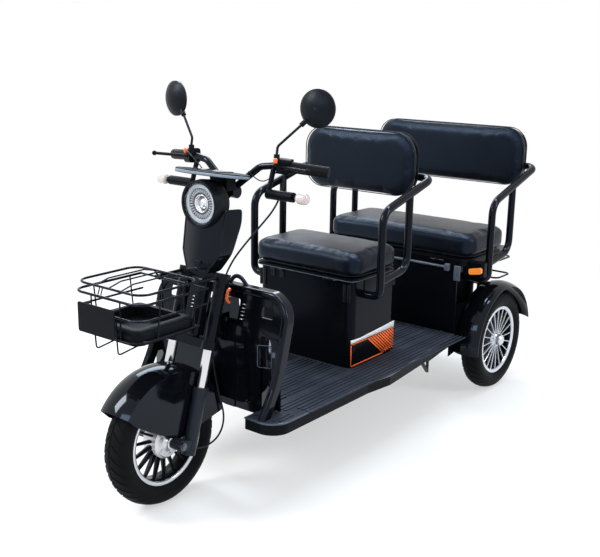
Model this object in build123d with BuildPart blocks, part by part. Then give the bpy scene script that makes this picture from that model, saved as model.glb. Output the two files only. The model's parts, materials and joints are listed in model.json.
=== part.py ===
from build123d import *
import math
import os

# Electric passenger tricycle: one steered front wheel, two rear wheels, two bench seats.
# The frame of the model: +Z up, -Y forward, +X to the rider's left, origin on the ground
# below the middle of the whole vehicle. All sizes are in millimetres.

os.makedirs("parts", exist_ok=True)

# ---------------------------------------------------------------- overall
overall_length = 2046
front_overhang = 232            # foremost point ahead of the front axle
wheelbase = 1578
front_axle_y = front_overhang - overall_length / 2
rear_axle_y = front_axle_y + wheelbase
rear_reach = overall_length - front_overhang

seat_gap = 0.5                  # loose parts at rest on what carries them
soft_gap = 0.4                  # padding beside its neighbours
fit_gap = 0.3                   # rubber on a rim and similar curved seats
running_gap = 0.05              # radial play of a shaft in its bore

# ---------------------------------------------------------------- wheels
wheel_radius = 205
tyre_width = 82
tyre_tread_width = 62
tyre_shoulder_drop = 9
tyre_bulge_radius = 173
rim_lip_radius = 140
rim_seat_radius = 128
rim_bore_radius = 117
rim_width = 68
rim_flange = 4
spoke_sink = 3                  # how far a spoke runs into hub and rim
axle_radius = 7.5

front_hub_radius = 50
front_hub_inner_x = -28
front_hub_outer_x = 40
front_hub_nose_radius = 24
front_hub_nose = 16
front_spoke_count = 18
front_spoke_width = 9
front_spoke_depth = 14

rear_track = 622
rear_hub_radius = 40
rear_hub_half_length = 30
rear_hub_cap_radius = 24
rear_hub_cap = 20
rear_spoke_pairs = 10
rear_spoke_width = 6
rear_spoke_depth = 12
rear_spoke_splay = 9            # degrees each side of the radius
rear_spoke_offset = 10
spindle_radius = 14
spindle_reach = 22              # spindle end beyond the wheel's centre plane

# ---------------------------------------------------------------- steering and fork
rake = 16.5
axle_lead = 66                  # axle ahead of the steering axis
leg_lead = 12                   # fork legs ahead of the steering axis
leg_spacing = 150
slider_radius = 21
slider_bottom = -32             # heights along the steering axis, from abeam the axle
slider_top = 178
collar_radius = 24
collar_height = 22
tube_radius = 15.5
lower_clamp_bottom = 296
clamp_height = 26
clamp_radius = 25
leg_cover_radius = 20
upper_clamp_bottom = 506
stem_radius = 13
stem_top = 745
head_tube_radius = 25
head_tube_bottom = 330
head_tube_top = 500
axle_half_length = 104
axle_nut_radius = 12
axle_nut_width = 10
axle_lug_half_width = 16

# ---------------------------------------------------------------- front mudguard
guard_half_width = 60
guard_edge_radius = 222
guard_crown = 16
guard_wall = 3
guard_front_angle = 36          # degrees above the axle's level, ahead
guard_rear_angle = 12           # degrees above the axle's level, behind
valance_wall = 3
valance_front_drop = 30
valance_low_z = 211
valance_low_y = 16
guard_strap = 4

# ---------------------------------------------------------------- handlebar and controls
bar_radius = 11
bar_centre_y = 318
bar_centre_z = 932
bar_knee_x = 112
bar_knee_y = 333
bar_knee_z = 1018
bar_clamp_x = 172
bar_clamp_y = 341
bar_clamp_z = 1026
bar_end_x = 321
bar_end_y = 397
bar_end_z = 1013
bar_bend = 40
bar_clamp_radius = 20
bar_clamp_length = 62
grip_radius = 17
grip_length = 118
grip_overrun = 3                # grip past the end of the bar
mirror_x = 292
mirror_y = 381
mirror_z = 1200
mirror_radius = 57
mirror_rim = 7                  # depth of the straight edge round the glass
mirror_dome = 20                # how far the back bulges beyond that edge
mirror_boss_radius = 8
mirror_boss_length = 22
mirror_toe = 10                 # degrees outward
mirror_stem_x = 178
mirror_stem_y = 330
mirror_bend_z = 1084
mirror_stem_radius = 4
mirror_stem_lean = 4
mirror_stem_bend = 14
mirror_reach_x = 34
mirror_reach_y = 12
mirror_reach_z = 36
boss_height = 12
boss_radius = 9
pod_length = 40
pod_height = 46
pod_depth = 42
pod_corner = 9
lever_tip_x = 318
lever_tip_y = 299
lever_tip_z = 1025
lever_radius = 5
lever_ball_radius = 8
signal_stem_x = 160
signal_y = 313
signal_z = 941
signal_body_in_x = 158
signal_body_out_x = 258
signal_lens_out_x = 312
signal_radius = 15
signal_neck_radius = 8
signal_neck_length = 12
signal_lens_radius = 17
signal_lens_round = 12

# ---------------------------------------------------------------- dash, lamp and fairing
dash_half_width = 147
dash_depth = 112
dash_centre_y = 236
dash_centre_z = 1003
dash_tilt = 6                   # degrees, front edge up
dash_thickness = 13
dash_edge = 4
dash_bracket_half_width = 35
dash_bracket_front_y = 264
dash_bracket_rear_y = 306
dash_bracket_low_z = 940
lamp_y = 176                    # front of the lamp's ring
lamp_z = 908
lamp_ring_radius = 72
lamp_body_radius = 74
lamp_side_depth = 25            # where the bucket starts to round off
lamp_back_radius = 66
lamp_depth = 84
lamp_back_round = 34
lamp_lens_radius = 64
lamp_lens_recess = 5
lamp_lens_thickness = 4
lamp_bowl_radius = 60
lamp_bowl_floor_radius = 22
lamp_bowl_depth = 50
lamp_arm_radius = 14
lamp_arm_drop = 18
lamp_arm_stem_drop = 26
fairing_wall = 4
lamp_arm_bite = 4               # how far the arm enters the bucket
fairing_levels = (              # height, crease at the middle, side crease, rear edge of the wing
    (700, 160, (40, 167), (52, 215)),
    (757, 168, (75, 186), (88, 232)),
    (852, 186, (80, 205), (104, 258)),
    (896, 194, (82, 214), (102, 262)),
)
fairing_lamp_gap = 4
fairing_stay_width = 30
fairing_stay_thickness = 12
fairing_stay_front_y = 162
fairing_stay_rear_y = 200

# ---------------------------------------------------------------- front basket
basket_corner = 40
rim_rail_radius = 4
rim_rail_half_width = 140
rim_rail_front_y = -196
rim_rail_z = 692
rim_rail_rear_y = 68
mid_rail_radius = 3.3
mid_rail_half_width = 137
mid_rail_front_y = -199
mid_rail_z = 645
low_rail_half_width = 127
low_rail_front_y = -195
low_rail_z = 582
low_rail_rear_y = 44
basket_hinge_y = 64
basket_hinge_wire_radius = 3.3
basket_stay_length = 130
basket_stay_radius = 5
post_radius = 2.3
side_post_ys = (-120, 20)
plate_post_x = 60
loop_x = 46
loop_drop = 38
loop_bend = 10
loop_wire_radius = 2.5
lid_rail_radius = 3.7
lid_closing_radius = 3.5        # the short run that closes the lid's hoop
lid_half_width = 136
lid_front_y = -187
lid_rear_y = 45
lid_z = 718
crown_rise = 12
crown_step = 48
crown_bend = 20
crown_wire_radius = 2.4
crown_xs = (-51, 3, 54)
latch_xs = (-31, -19)
latch_radius = 1.8
latch_tip_y = -195
latch_tip_z = 696.6
lid_hinge_x = 59
lid_hinge_radius = 7.5
lid_hinge_length = 10
lid_arm_radius = 3
tray_half_width = 122
tray_front_y = -192
tray_rear_y = 40
tray_bottom_z = 572
tray_top_z = 614
tray_corner = 30
tray_lip_width = 28             # broad rounded lip round the tray's recess
tray_lip_round = 18
tray_floor = 6
plate_width = 152
plate_height = 86
plate_top_z = 677
plate_thickness = 4
plate_corner = 6
plate_stay_z = 670

# ---------------------------------------------------------------- floor and frame
floor_top_z = 284
floor_thickness = 38
floor_half_width = 332
floor_wide_half_width = 346
floor_step_start = 634
floor_step_end = 750
floor_front_y = 150
floor_horn_x = 212
floor_front_corner = 62
floor_rear_y = 1295
floor_rear_half_width = 290
rail_x = 150
rail_width = 34
rail_height = 30
rail_front_y = 300
rail_step_y = 1296
rail_rear_y = 1740
spine_width = 44
spine_height = 46
neck_z = 574
neck_end_y = 312
down_tube_y = 336
cross_depth = 40
rear_rail_height = 40
frame_gap = 3
cross_member_ys = (down_tube_y, 850, 1250)

# ---------------------------------------------------------------- leg shield
shield_half_width = 280
shield_top_z = 646
shield_corner = 88
shield_rim_width = 24
shield_rim_depth = 44
shield_rim_round = 9
shield_bend = 300               # radius of the gentle bends in its side view
shield_foot_y = 152             # front edge of the rim at the floor
shield_knee_z = 395
shield_knee_y = 214
shield_wall_z = 480
shield_wall_y = 236
shield_top_y = 278
panel_half_width = 200
panel_bottom_z = 288
panel_band_z = 498
panel_wall = 8
panel_setback = 6
window_half_width = 84
window_low_z = 541
window_high_z = 607
slot_in_x = 176
slot_out_x = 222
slot_low_z = 566
slot_high_z = 600
cover_half_width_top = 132
cover_half_width_bottom = 160
cover_top_z = 530
cover_depth = 16
hook_x = 38
hook_radius = 5
hook_drop = 8
hook_top_z = 634
hook_front_y = 257
hook_bend_z = 600
hook_tip_y = 270
hook_tip_z = 586
hook_bend = 8
window_corner = 10
slot_corner = 6
cover_corner = 30

# ---------------------------------------------------------------- front seat
front_box_half_width = 208
front_box_front_y = 703
front_box_rear_y = 983
front_box_top_z = 598
box_wall = 5
box_corner = 30
pan_thickness = 8
pan_inset = 8                   # cushion beyond its pan
front_hinge_spacing = 240
hinge_radius = 5
hinge_length = 60
hinge_pin_radius = 2.5
hinge_leaf = 3
hinge_leaf_height = 30
front_cushion_half_width = 228
front_cushion_lead = 13         # ahead of its box
front_cushion_depth = 276
front_cushion_height = 88
cushion_corner = 46
cushion_edge = 20
seat_tube_radius = 14
front_arm_x = 283
front_leg_y = 763
front_arm_foot_z = 545
front_arm_knee_z = 836
front_arm_back_z = 920
front_strut_y = 929
front_strut_top_z = 880
front_strut_low_z = 618
arm_bend = 60
back_bend = 40
foot_bend = 30
strut_fall = 22
strut_radius = 13.5
front_back_half_width = 242
front_back_y = 1002
front_back_low_z = 852
front_back_high_z = 1078
back_thickness = 50
back_shell = 9
back_corner = 78
back_edge = 14
shell_inset = 10
battery_width = 300
battery_depth = 200
battery_height = 190

# ---------------------------------------------------------------- rear seat
rear_box_half_width = 190
rear_box_front_y = 1296
rear_box_rear_y = 1650
rear_box_top_z = 578
rear_front_half_width = 286
rear_front_wall = 6
rear_pan_half_width = 322
rear_tray_wall = 18
rear_tray_rear_y = 1682
rear_hinge_spacing = 400
rear_cushion_half_width = 335
rear_cushion_lag = 4            # behind the front of its box
rear_cushion_depth = 298
rear_cushion_height = 96
rear_arm_x = 374
rear_leg_y = 1383
rear_arm_foot_z = 500
rear_arm_knee_z = 800
rear_arm_back_z = 906
rear_strut_y = 1545
rear_strut_top_z = 850
rear_strut_low_z = 590
rear_back_half_width = 345
rear_back_y = 1668
rear_back_low_z = 830
rear_back_high_z = 1062
marker_y = 1334
marker_pod_in_x = 300
marker_pod_out_x = 386
marker_pod_height = 36
marker_pod_depth = 40
marker_pod_round = 12
marker_lens_outline = ((330, 531), (383, 540), (383, 565), (330, 554))
marker_lens_round = 8
marker_lens_depth = 10
tail_lamp_x = 120
tail_lamp_z = 370
tail_lamp_width = 90
tail_lamp_height = 46
tail_lamp_depth = 14
tail_lamp_round = 8

# ---------------------------------------------------------------- rear end
rear_guard_inner_reach = 49     # inner edge inboard of the wheel's centre plane
rear_guard_outer_reach = 59     # outer edge outboard of it
rear_guard_edge_radius = 228
rear_guard_crown = 16
rear_guard_front_angle = -3
rear_guard_rear_angle = 13
skirt_bottom_z = 186
skirt_top_angle = 54            # where the skirt's upper edge meets the guard
guard_bracket_depth = 40
axle_tube_radius = 28
brake_plate_radius = 56
brake_plate_width = 16
drum_gap = 15                   # from the brake plate to the hub
saddle_length = 70
motor_length = 210
motor_radius = 72
motor_gap = 2
gear_case_width = 90
gear_case_height = 60
shock_x = 222
shock_y = 1640
shock_radius = 22
shock_rod_radius = 8
shock_rod_length = 40
shock_lug_width = 26
shock_lug_height = 18
rack_half_width = 264
rack_top_z = 506
rack_low_z = 430
rack_wire_radius = 4
rack_slats = 7
rack_slat_radius = 3
rack_root_x = 170
rack_turn_y = 1692
rack_bend = 24
linkage_x = 285
linkage_front_y = 1040
linkage_rear_y = 1110
linkage_drop = 66
linkage_bar = 8
linkage_rod_drop = 22
brake_rod_x = 256
brake_rod_radius = 4
brake_rod_bend = 60
brake_rod_rise = 10             # above the axle at its brake
brake_rod_foot = 2              # how far the rod enters its bracket

# ---------------------------------------------------------------- front brake cable
cable_radius = 3
cable_stop_radius = 5
bend_share = 0.45               # part of each run given to a bend
cable_route = (                 # x, distance behind the front axle, height
    (192, 350, 1006),
    (189, 347, 950),
    (166, 333, 890),
    (131, 307, 836),
    (99, 281, 786),
    (72, 257, 738),
    (56, 237, 690),
    (55, 219, 630),
    (55, 201, 570),
    (54, 184, 515),
    (55, 173, 470),
    (59, 173, 414),
    (65, 180, 356),
    (68, 190, 304),
    (70, 203, 262),
    (70, 209, 228),
    (70, 202, 194),
    (69, 181, 168),
    (67, 152, 156),
    (65, 122, 154),
    (63, 92, 160),
    (62, 72, 168),
)
cable_root = (64, 50, 176)

on_top = (Align.CENTER, Align.CENTER, Align.MIN)


def aft(distance):
    """Y of a point that lies this far behind the front axle."""
    return front_axle_y + distance


def bent_rod(points, bend, radius):
    """A round rod along straight runs joined by arcs."""
    with BuildPart() as rod:
        with BuildLine():
            route = FilletPolyline(*points, radius=bend)
        with BuildSketch(Plane(origin=route @ 0, z_dir=route % 0)):
            Circle(radius)
        sweep()
    return rod.part


def straight_rod(start, end, radius):
    """A round rod between two points."""
    begin = Vector(*start)
    run = Vector(*end) - begin
    with BuildPart(Plane(origin=begin, z_dir=run)) as rod:
        Cylinder(radius, run.length, align=(Align.CENTER, Align.CENTER, Align.MIN))
    return rod.part


def flowing_tube(points, radius):
    """A limp tube along short runs, each bend as wide as its two runs allow."""
    spots = [Vector(*point) for point in points]
    bends = []
    for before, here, after in zip(spots, spots[1:], spots[2:]):
        shorter = min((here - before).length, (after - here).length)
        half_turn = math.radians((here - before).get_angle(after - here)) / 2
        bends.append(bend_share * shorter / math.tan(half_turn))
    return bent_rod(points, bends, radius)


def mirrored(part):
    """The same part on the other side of the middle plane."""
    return mirror(part, about=Plane.YZ)


def finish(build, label):
    """Name the finished piece and write its file."""
    build.part.label = label
    export_step(build.part, f"parts/{label}.step")


# ---------------------------------------------------------------- wheels

def tyre(centre):
    """A round-shouldered tyre seated on the rim."""
    bead_x = rim_width / 2 - rim_flange - fit_gap
    bead_r = rim_seat_radius + fit_gap
    lip_r = rim_lip_radius + fit_gap
    shoulder_r = wheel_radius - tyre_shoulder_drop
    shoulder_x = tyre_tread_width / 2
    with BuildPart() as ring:
        with BuildSketch(Plane(origin=centre, x_dir=(1, 0, 0), z_dir=(0, -1, 0))):
            with BuildLine():
                Line((-bead_x, bead_r), (bead_x, bead_r))
                Line((bead_x, bead_r), (bead_x, lip_r))
                ThreePointArc((bead_x, lip_r), (tyre_width / 2, tyre_bulge_radius), (shoulder_x, shoulder_r))
                ThreePointArc((shoulder_x, shoulder_r), (0, wheel_radius), (-shoulder_x, shoulder_r))
                ThreePointArc((-shoulder_x, shoulder_r), (-tyre_width / 2, tyre_bulge_radius),
                              (-bead_x, lip_r))
                Line((-bead_x, lip_r), (-bead_x, bead_r))
            make_face()
        revolve(axis=Axis(centre, (1, 0, 0)))
    return ring


def rim_ring(centre):
    """The rim's barrel with its two lips."""
    half = rim_width / 2
    with BuildPart() as ring:
        with BuildSketch(Plane(origin=centre, x_dir=(1, 0, 0), z_dir=(0, -1, 0))):
            with BuildLine():
                Polyline(
                    (-half, rim_bore_radius),
                    (-half, rim_lip_radius),
                    (-half + rim_flange, rim_lip_radius),
                    (-half + rim_flange, rim_seat_radius),
                    (half - rim_flange, rim_seat_radius),
                    (half - rim_flange, rim_lip_radius),
                    (half, rim_lip_radius),
                    (half, rim_bore_radius),
                    close=True,
                )
            make_face()
        revolve(axis=Axis(centre, (1, 0, 0)))
    return ring.part


front_centre = (0, front_axle_y, wheel_radius)
front_tyre = tyre(front_centre)
finish(front_tyre, "front_tyre")

front_spoke_inner = front_hub_radius - spoke_sink
front_spoke_outer = rim_bore_radius + spoke_sink
front_spoke_length = front_spoke_outer - front_spoke_inner
with BuildPart(Plane(origin=front_centre, x_dir=(0, 1, 0), z_dir=(1, 0, 0))) as front_spider:
    with Locations((0, 0, front_hub_inner_x)):
        Cylinder(front_hub_radius, front_hub_outer_x - front_hub_inner_x, align=on_top)
    with Locations((0, 0, front_hub_outer_x)):
        Cone(front_hub_radius, front_hub_nose_radius, front_hub_nose, align=on_top)
    with PolarLocations((front_spoke_inner + front_spoke_outer) / 2, front_spoke_count):
        Box(front_spoke_length, front_spoke_width, front_spoke_depth)
    Cylinder(axle_radius + running_gap, 2 * rim_lip_radius, mode=Mode.SUBTRACT)
with BuildPart() as front_rim:
    add(rim_ring(front_centre))
    add(front_spider.part)
finish(front_rim, "front_rim")


def rear_rim(side):
    """A spoked rear wheel with a closed hub cap; side is +1 on the left, -1 on the right."""
    centre = (side * rear_track / 2, rear_axle_y, wheel_radius)
    spoke_inner = rear_hub_radius - spoke_sink
    spoke_outer = rim_bore_radius + spoke_sink
    bore_depth = rear_hub_half_length + spindle_reach + seat_gap
    with BuildPart(Plane(origin=centre, x_dir=(0, side, 0), z_dir=(side, 0, 0))) as spider:
        Cylinder(rear_hub_radius, 2 * rear_hub_half_length)
        with Locations((0, 0, rear_hub_half_length)):
            Cylinder(rear_hub_cap_radius, rear_hub_cap, align=on_top)
        with PolarLocations((spoke_inner + spoke_outer) / 2, rear_spoke_pairs):
            with Locations(
                Location((0, rear_spoke_offset, 0), (0, 0, rear_spoke_splay)),
                Location((0, -rear_spoke_offset, 0), (0, 0, -rear_spoke_splay)),
            ):
                Box(spoke_outer - spoke_inner, rear_spoke_width, rear_spoke_depth)
        with Locations((0, 0, -rear_hub_half_length)):
            Cylinder(spindle_radius + running_gap, bore_depth, align=on_top, mode=Mode.SUBTRACT)
    with BuildPart() as rim:
        add(rim_ring(centre))
        add(spider.part)
    return rim


for side, name in ((1, "left"), (-1, "right")):
    rear_tyre = tyre((side * rear_track / 2, rear_axle_y, wheel_radius))
    finish(rear_tyre, f"rear_tyre_{name}")
    finish(rear_rim(side), f"rear_rim_{name}")

# ---------------------------------------------------------------- fork
sine = math.sin(math.radians(rake))
cosine = math.cos(math.radians(rake))
steer_origin = (0, front_axle_y + axle_lead * cosine, wheel_radius - axle_lead * sine)
steer_plane = Plane(origin=steer_origin, x_dir=(1, 0, 0), z_dir=(0, sine, cosine))
leg_x = leg_spacing / 2
leg_y = -leg_lead
clamp_top = lower_clamp_bottom + clamp_height


def along_fork(height):
    """Places for the two fork legs at a height along the steering axis."""
    return Locations((leg_x, leg_y, height), (-leg_x, leg_y, height))


with BuildPart(steer_plane) as fork_tubes:
    with along_fork(slider_top + seat_gap):
        Cylinder(tube_radius, lower_clamp_bottom - slider_top - 2 * seat_gap, align=on_top)
finish(fork_tubes, "fork_tubes")

with BuildPart(steer_plane) as fork_sliders:
    with along_fork(slider_bottom):
        Cylinder(slider_radius, slider_top - slider_bottom - collar_height, align=on_top)
    with along_fork(slider_top - collar_height):
        Cylinder(collar_radius, collar_height, align=on_top)
    with Locations((leg_x, -axle_lead / 2 - leg_lead / 2, 0), (-leg_x, -axle_lead / 2 - leg_lead / 2, 0)):
        Box(2 * axle_lug_half_width, axle_lead - leg_lead, 2 * axle_lug_half_width)
    with Locations(Location((leg_x, -axle_lead, 0), (0, 90, 0)),
                   Location((-leg_x, -axle_lead, 0), (0, 90, 0))):
        Cylinder(axle_lug_half_width, 2 * axle_lug_half_width)
    with Locations(Location((0, -axle_lead, 0), (0, 90, 0))):
        Cylinder(axle_radius, 4 * leg_x, mode=Mode.SUBTRACT)
cable_points = [(x, aft(y), z) for x, y, z in cable_route]
cable_stop_foot = (cable_root[0], aft(cable_root[1]), cable_root[2])
with BuildPart() as sliders_with_stop:
    add(fork_sliders.part)
    add(straight_rod(cable_points[-1], cable_stop_foot, cable_stop_radius))
finish(sliders_with_stop, "fork_sliders")

axle_plane = Plane(origin=front_centre, x_dir=(0, 1, 0), z_dir=(1, 0, 0))
nut_place = leg_x + axle_lug_half_width + axle_nut_width / 2
with BuildPart(axle_plane) as front_axle:
    Cylinder(axle_radius, 2 * axle_half_length)
    with Locations((0, 0, nut_place), (0, 0, -nut_place)):
        Cylinder(axle_nut_radius, axle_nut_width)
finish(front_axle, "front_axle")

with BuildPart(steer_plane) as fork_yokes:
    for height in (lower_clamp_bottom, upper_clamp_bottom):
        with BuildSketch(steer_plane.offset(height)):
            with Locations((leg_x, leg_y), (-leg_x, leg_y)):
                Circle(clamp_radius)
            with Locations((0, leg_y / 2)):
                Rectangle(leg_spacing, 2 * clamp_radius - leg_lead)
            with Locations((0, 0)):
                Circle(clamp_radius)
        extrude(amount=clamp_height)
    with along_fork(clamp_top):
        Cylinder(leg_cover_radius, upper_clamp_bottom - clamp_top, align=on_top)
    with Locations((0, 0, lower_clamp_bottom)):
        Cylinder(stem_radius, stem_top - lower_clamp_bottom, align=on_top)
finish(fork_yokes, "fork_yokes")

# ---------------------------------------------------------------- front mudguard
guard_span = 180 - guard_front_angle - guard_rear_angle
tip = math.radians(guard_front_angle)
tail = math.radians(guard_rear_angle)


def guard_crown_band(centre, inner_x, outer_x, edge_radius, crown, wall, start, sweep_angle):
    """A crowned band over a wheel, from start degrees above level ahead."""
    middle_x = (inner_x + outer_x) / 2
    begin = Plane(origin=centre, x_dir=(1, 0, 0), z_dir=(0, -1, 0)).rotated((90 - start, 0, 0))
    with BuildPart() as band:
        with BuildSketch(begin):
            with BuildLine():
                ThreePointArc((inner_x, edge_radius), (middle_x, edge_radius + crown),
                              (outer_x, edge_radius))
                Line((outer_x, edge_radius), (outer_x, edge_radius - wall))
                ThreePointArc(
                    (outer_x, edge_radius - wall),
                    (middle_x, edge_radius + crown - wall),
                    (inner_x, edge_radius - wall),
                )
                Line((inner_x, edge_radius - wall), (inner_x, edge_radius))
            make_face()
        revolve(axis=Axis(centre, (1, 0, 0)), revolution_arc=-sweep_angle)
    return band.part


axle_y = front_axle_y
tip_y = axle_y - guard_edge_radius * math.cos(tip)
tip_z = wheel_radius + guard_edge_radius * math.sin(tip)
tail_y = axle_y + guard_edge_radius * math.cos(tail)
tail_z = wheel_radius + guard_edge_radius * math.sin(tail)
low_y = axle_y + valance_low_y
with BuildPart() as front_mudguard:
    add(guard_crown_band(front_centre, -guard_half_width, guard_half_width, guard_edge_radius,
                         guard_crown, guard_wall, guard_front_angle, guard_span))
    for x in (guard_half_width - valance_wall, -guard_half_width):
        with BuildSketch(Plane.YZ.offset(x)):
            with BuildLine():
                ThreePointArc((tip_y, tip_z), (axle_y, wheel_radius + guard_edge_radius), (tail_y, tail_z))
                Polyline(
                    (tail_y, tail_z),
                    (low_y, valance_low_z),
                    (tip_y + valance_front_drop, tip_z - valance_front_drop),
                    (tip_y, tip_z),
                )
            make_face()
        extrude(amount=valance_wall)
with BuildPart(steer_plane) as leg_clearance:
    with along_fork(slider_bottom - fit_gap):
        Cylinder(slider_radius + fit_gap, slider_top - slider_bottom, align=on_top)
    with along_fork(slider_top - collar_height - fit_gap):
        Cylinder(collar_radius + fit_gap, collar_height + 2 * fit_gap, align=on_top)
    with along_fork(slider_top):
        Cylinder(tube_radius + fit_gap, lower_clamp_bottom - slider_top, align=on_top)
    with Locations((leg_x, -axle_lead, 0), (-leg_x, -axle_lead, 0)):
        Box(2 * (axle_lug_half_width + fit_gap), 2 * axle_lead, 2 * (axle_lug_half_width + fit_gap))
with BuildPart() as guard_between_legs:
    add(front_mudguard.part)
    add(leg_clearance.part, mode=Mode.SUBTRACT)
finish(guard_between_legs, "front_mudguard")

# ---------------------------------------------------------------- handlebar
bar_right = (-bar_end_x, aft(bar_end_y), bar_end_z)
bar_left = (bar_end_x, aft(bar_end_y), bar_end_z)
bar_points = [
    bar_right,
    (-bar_clamp_x, aft(bar_clamp_y), bar_clamp_z),
    (-bar_knee_x, aft(bar_knee_y), bar_knee_z),
    (0, aft(bar_centre_y), bar_centre_z),
    (bar_knee_x, aft(bar_knee_y), bar_knee_z),
    (bar_clamp_x, aft(bar_clamp_y), bar_clamp_z),
    bar_left,
]
handlebar_rod = bent_rod(bar_points, [bar_bend, bar_bend, bar_bend, bar_bend, bar_bend], bar_radius)
stem_head = steer_plane.from_local_coords(Vector(0, 0, stem_top))
with BuildPart() as handlebar:
    add(handlebar_rod)
    with Locations(Location((0, aft(bar_centre_y), bar_centre_z), (0, 90, 0))):
        Cylinder(bar_clamp_radius, bar_clamp_length)
    add(straight_rod(tuple(stem_head), (0, aft(bar_centre_y), bar_centre_z), stem_radius))
    add(fork_yokes.part, mode=Mode.SUBTRACT)
finish(handlebar, "handlebar")

grip_dir = (Vector(*bar_left) - Vector(bar_clamp_x, aft(bar_clamp_y), bar_clamp_z)).normalized()
grip_start = Vector(*bar_left) - grip_dir * (grip_length - grip_overrun)
grip_end = Vector(*bar_left) + grip_dir * grip_overrun
with BuildPart() as grips:
    left_grip = straight_rod(tuple(grip_start), tuple(grip_end), grip_radius)
    add(left_grip)
    add(mirrored(left_grip))
    add(handlebar_rod, mode=Mode.SUBTRACT)
finish(grips, "grips")

pod_centre = grip_start - grip_dir * (pod_length / 2 + 1)
lever_base = pod_centre + Vector(0, -pod_depth / 2, 0)
with BuildPart(Plane(origin=pod_centre, x_dir=(0, 0, 1), z_dir=grip_dir)) as control_pod:
    Box(pod_height, pod_depth, pod_length)
    fillet(control_pod.edges().filter_by(Axis((0, 0, 0), tuple(grip_dir))), radius=pod_corner)
lever_tip = (lever_tip_x, aft(lever_tip_y), lever_tip_z)
with BuildPart() as left_control:
    add(control_pod.part)
    add(straight_rod(tuple(lever_base), lever_tip, lever_radius))
    with Locations(lever_tip):
        Sphere(lever_ball_radius)
    add(handlebar_rod, mode=Mode.SUBTRACT)
with BuildPart() as hand_controls:
    add(left_control.part)
    add(mirrored(left_control.part))
finish(hand_controls, "hand_controls")

with BuildPart() as brake_cable:
    add(flowing_tube(cable_points, cable_radius))
    add(hand_controls.part, mode=Mode.SUBTRACT)
    add(sliders_with_stop.part, mode=Mode.SUBTRACT)
finish(brake_cable, "brake_cable")

toe = math.radians(mirror_toe)
mirror_centre = Vector(mirror_x, aft(mirror_y), mirror_z)
mirror_normal = Vector(math.sin(toe), -math.cos(toe), 0)
boss_base = (mirror_stem_x, aft(mirror_stem_y), bar_clamp_z)
boss_top = (mirror_stem_x, aft(mirror_stem_y), bar_clamp_z + pod_height / 2 + boss_height)
upward = Vector(0, 0, 1)
mirror_section = Plane(origin=mirror_centre, x_dir=upward, z_dir=upward.cross(mirror_normal))
with BuildPart() as mirror_head:
    with BuildSketch(mirror_section):
        with BuildLine():
            TangentArc((0, mirror_rim + mirror_dome), (mirror_radius, mirror_rim), tangent=(1, 0))
            Polyline((mirror_radius, mirror_rim), (mirror_radius, 0), (0, 0), (0, mirror_rim + mirror_dome))
        make_face()
    revolve(axis=Axis(tuple(mirror_centre), tuple(mirror_normal)))
stem_bend_point = Vector(mirror_stem_x, aft(mirror_stem_y + mirror_stem_lean), mirror_bend_z)
stem_end = mirror_centre - Vector(mirror_reach_x, mirror_reach_y, mirror_reach_z)
boss_foot = stem_end - (stem_end - stem_bend_point).normalized() * mirror_boss_length
with BuildPart() as left_mirror:
    add(mirror_head.part)
    add(bent_rod(
        [
            boss_top,
            tuple(stem_bend_point),
            tuple(stem_end),
        ],
        mirror_stem_bend,
        mirror_stem_radius,
    ))
    add(straight_rod(tuple(boss_foot), tuple(stem_end), mirror_boss_radius))
    add(straight_rod(boss_base, boss_top, boss_radius))
    add(left_control.part, mode=Mode.SUBTRACT)
    add(handlebar_rod, mode=Mode.SUBTRACT)
# the slivers cut off inside the bar and the control are left out
left_mirror_solid = left_mirror.part.solids().sort_by(SortBy.VOLUME)[-1]
with BuildPart() as mirrors:
    add(left_mirror_solid)
    add(mirrored(left_mirror_solid))
finish(mirrors, "mirrors")

# ---------------------------------------------------------------- turn signals
with BuildPart() as turn_signals:
    signal_y_place = aft(signal_y)
    body = straight_rod((signal_body_in_x, signal_y_place, signal_z),
                        (signal_body_out_x, signal_y_place, signal_z), signal_radius)
    neck = straight_rod((signal_body_out_x, signal_y_place, signal_z),
                        (signal_body_out_x + signal_neck_length, signal_y_place, signal_z),
                        signal_neck_radius)
    stem = straight_rod((signal_stem_x, aft(bar_clamp_y), bar_clamp_z),
                        (signal_stem_x, signal_y_place, signal_z), signal_neck_radius)
    for piece in (body, neck, stem):
        add(piece)
        add(mirrored(piece))
    add(handlebar_rod, mode=Mode.SUBTRACT)
finish(turn_signals, "turn_signals")

lens_base = signal_body_out_x + signal_neck_length
lens_plane = Plane(origin=(lens_base + fit_gap, aft(signal_y), signal_z), z_dir=(1, 0, 0))
with BuildPart(lens_plane) as lens_half:
    Cylinder(signal_lens_radius, signal_lens_out_x - lens_base, align=on_top)
    fillet(lens_half.edges().filter_by(GeomType.CIRCLE), radius=signal_lens_round)
with BuildPart() as turn_signal_lenses:
    add(lens_half.part)
    add(mirrored(lens_half.part))
finish(turn_signal_lenses, "turn_signal_lenses")

# ---------------------------------------------------------------- dash
tilt = math.radians(dash_tilt)
dash_plane = Plane(origin=(0, aft(dash_centre_y), dash_centre_z), x_dir=(1, 0, 0),
                   z_dir=(0, math.sin(tilt), math.cos(tilt)))
bracket_length = dash_bracket_rear_y - dash_bracket_front_y
bracket_place = (0, aft(dash_bracket_front_y), dash_bracket_low_z)
with BuildPart() as dash_panel:
    with BuildSketch(dash_plane):
        Ellipse(dash_half_width, dash_depth / 2)
    extrude(amount=-dash_thickness)
    fillet(dash_panel.faces().sort_by(Axis.Z)[-1].edges(), radius=dash_edge)
    with Locations(bracket_place):
        Box(2 * dash_bracket_half_width, bracket_length, dash_centre_z - dash_thickness - dash_bracket_low_z,
            align=(Align.CENTER, Align.MIN, Align.MIN))
    add(handlebar.part, mode=Mode.SUBTRACT)
    add(fork_yokes.part, mode=Mode.SUBTRACT)
finish(dash_panel, "dash_panel")

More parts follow.
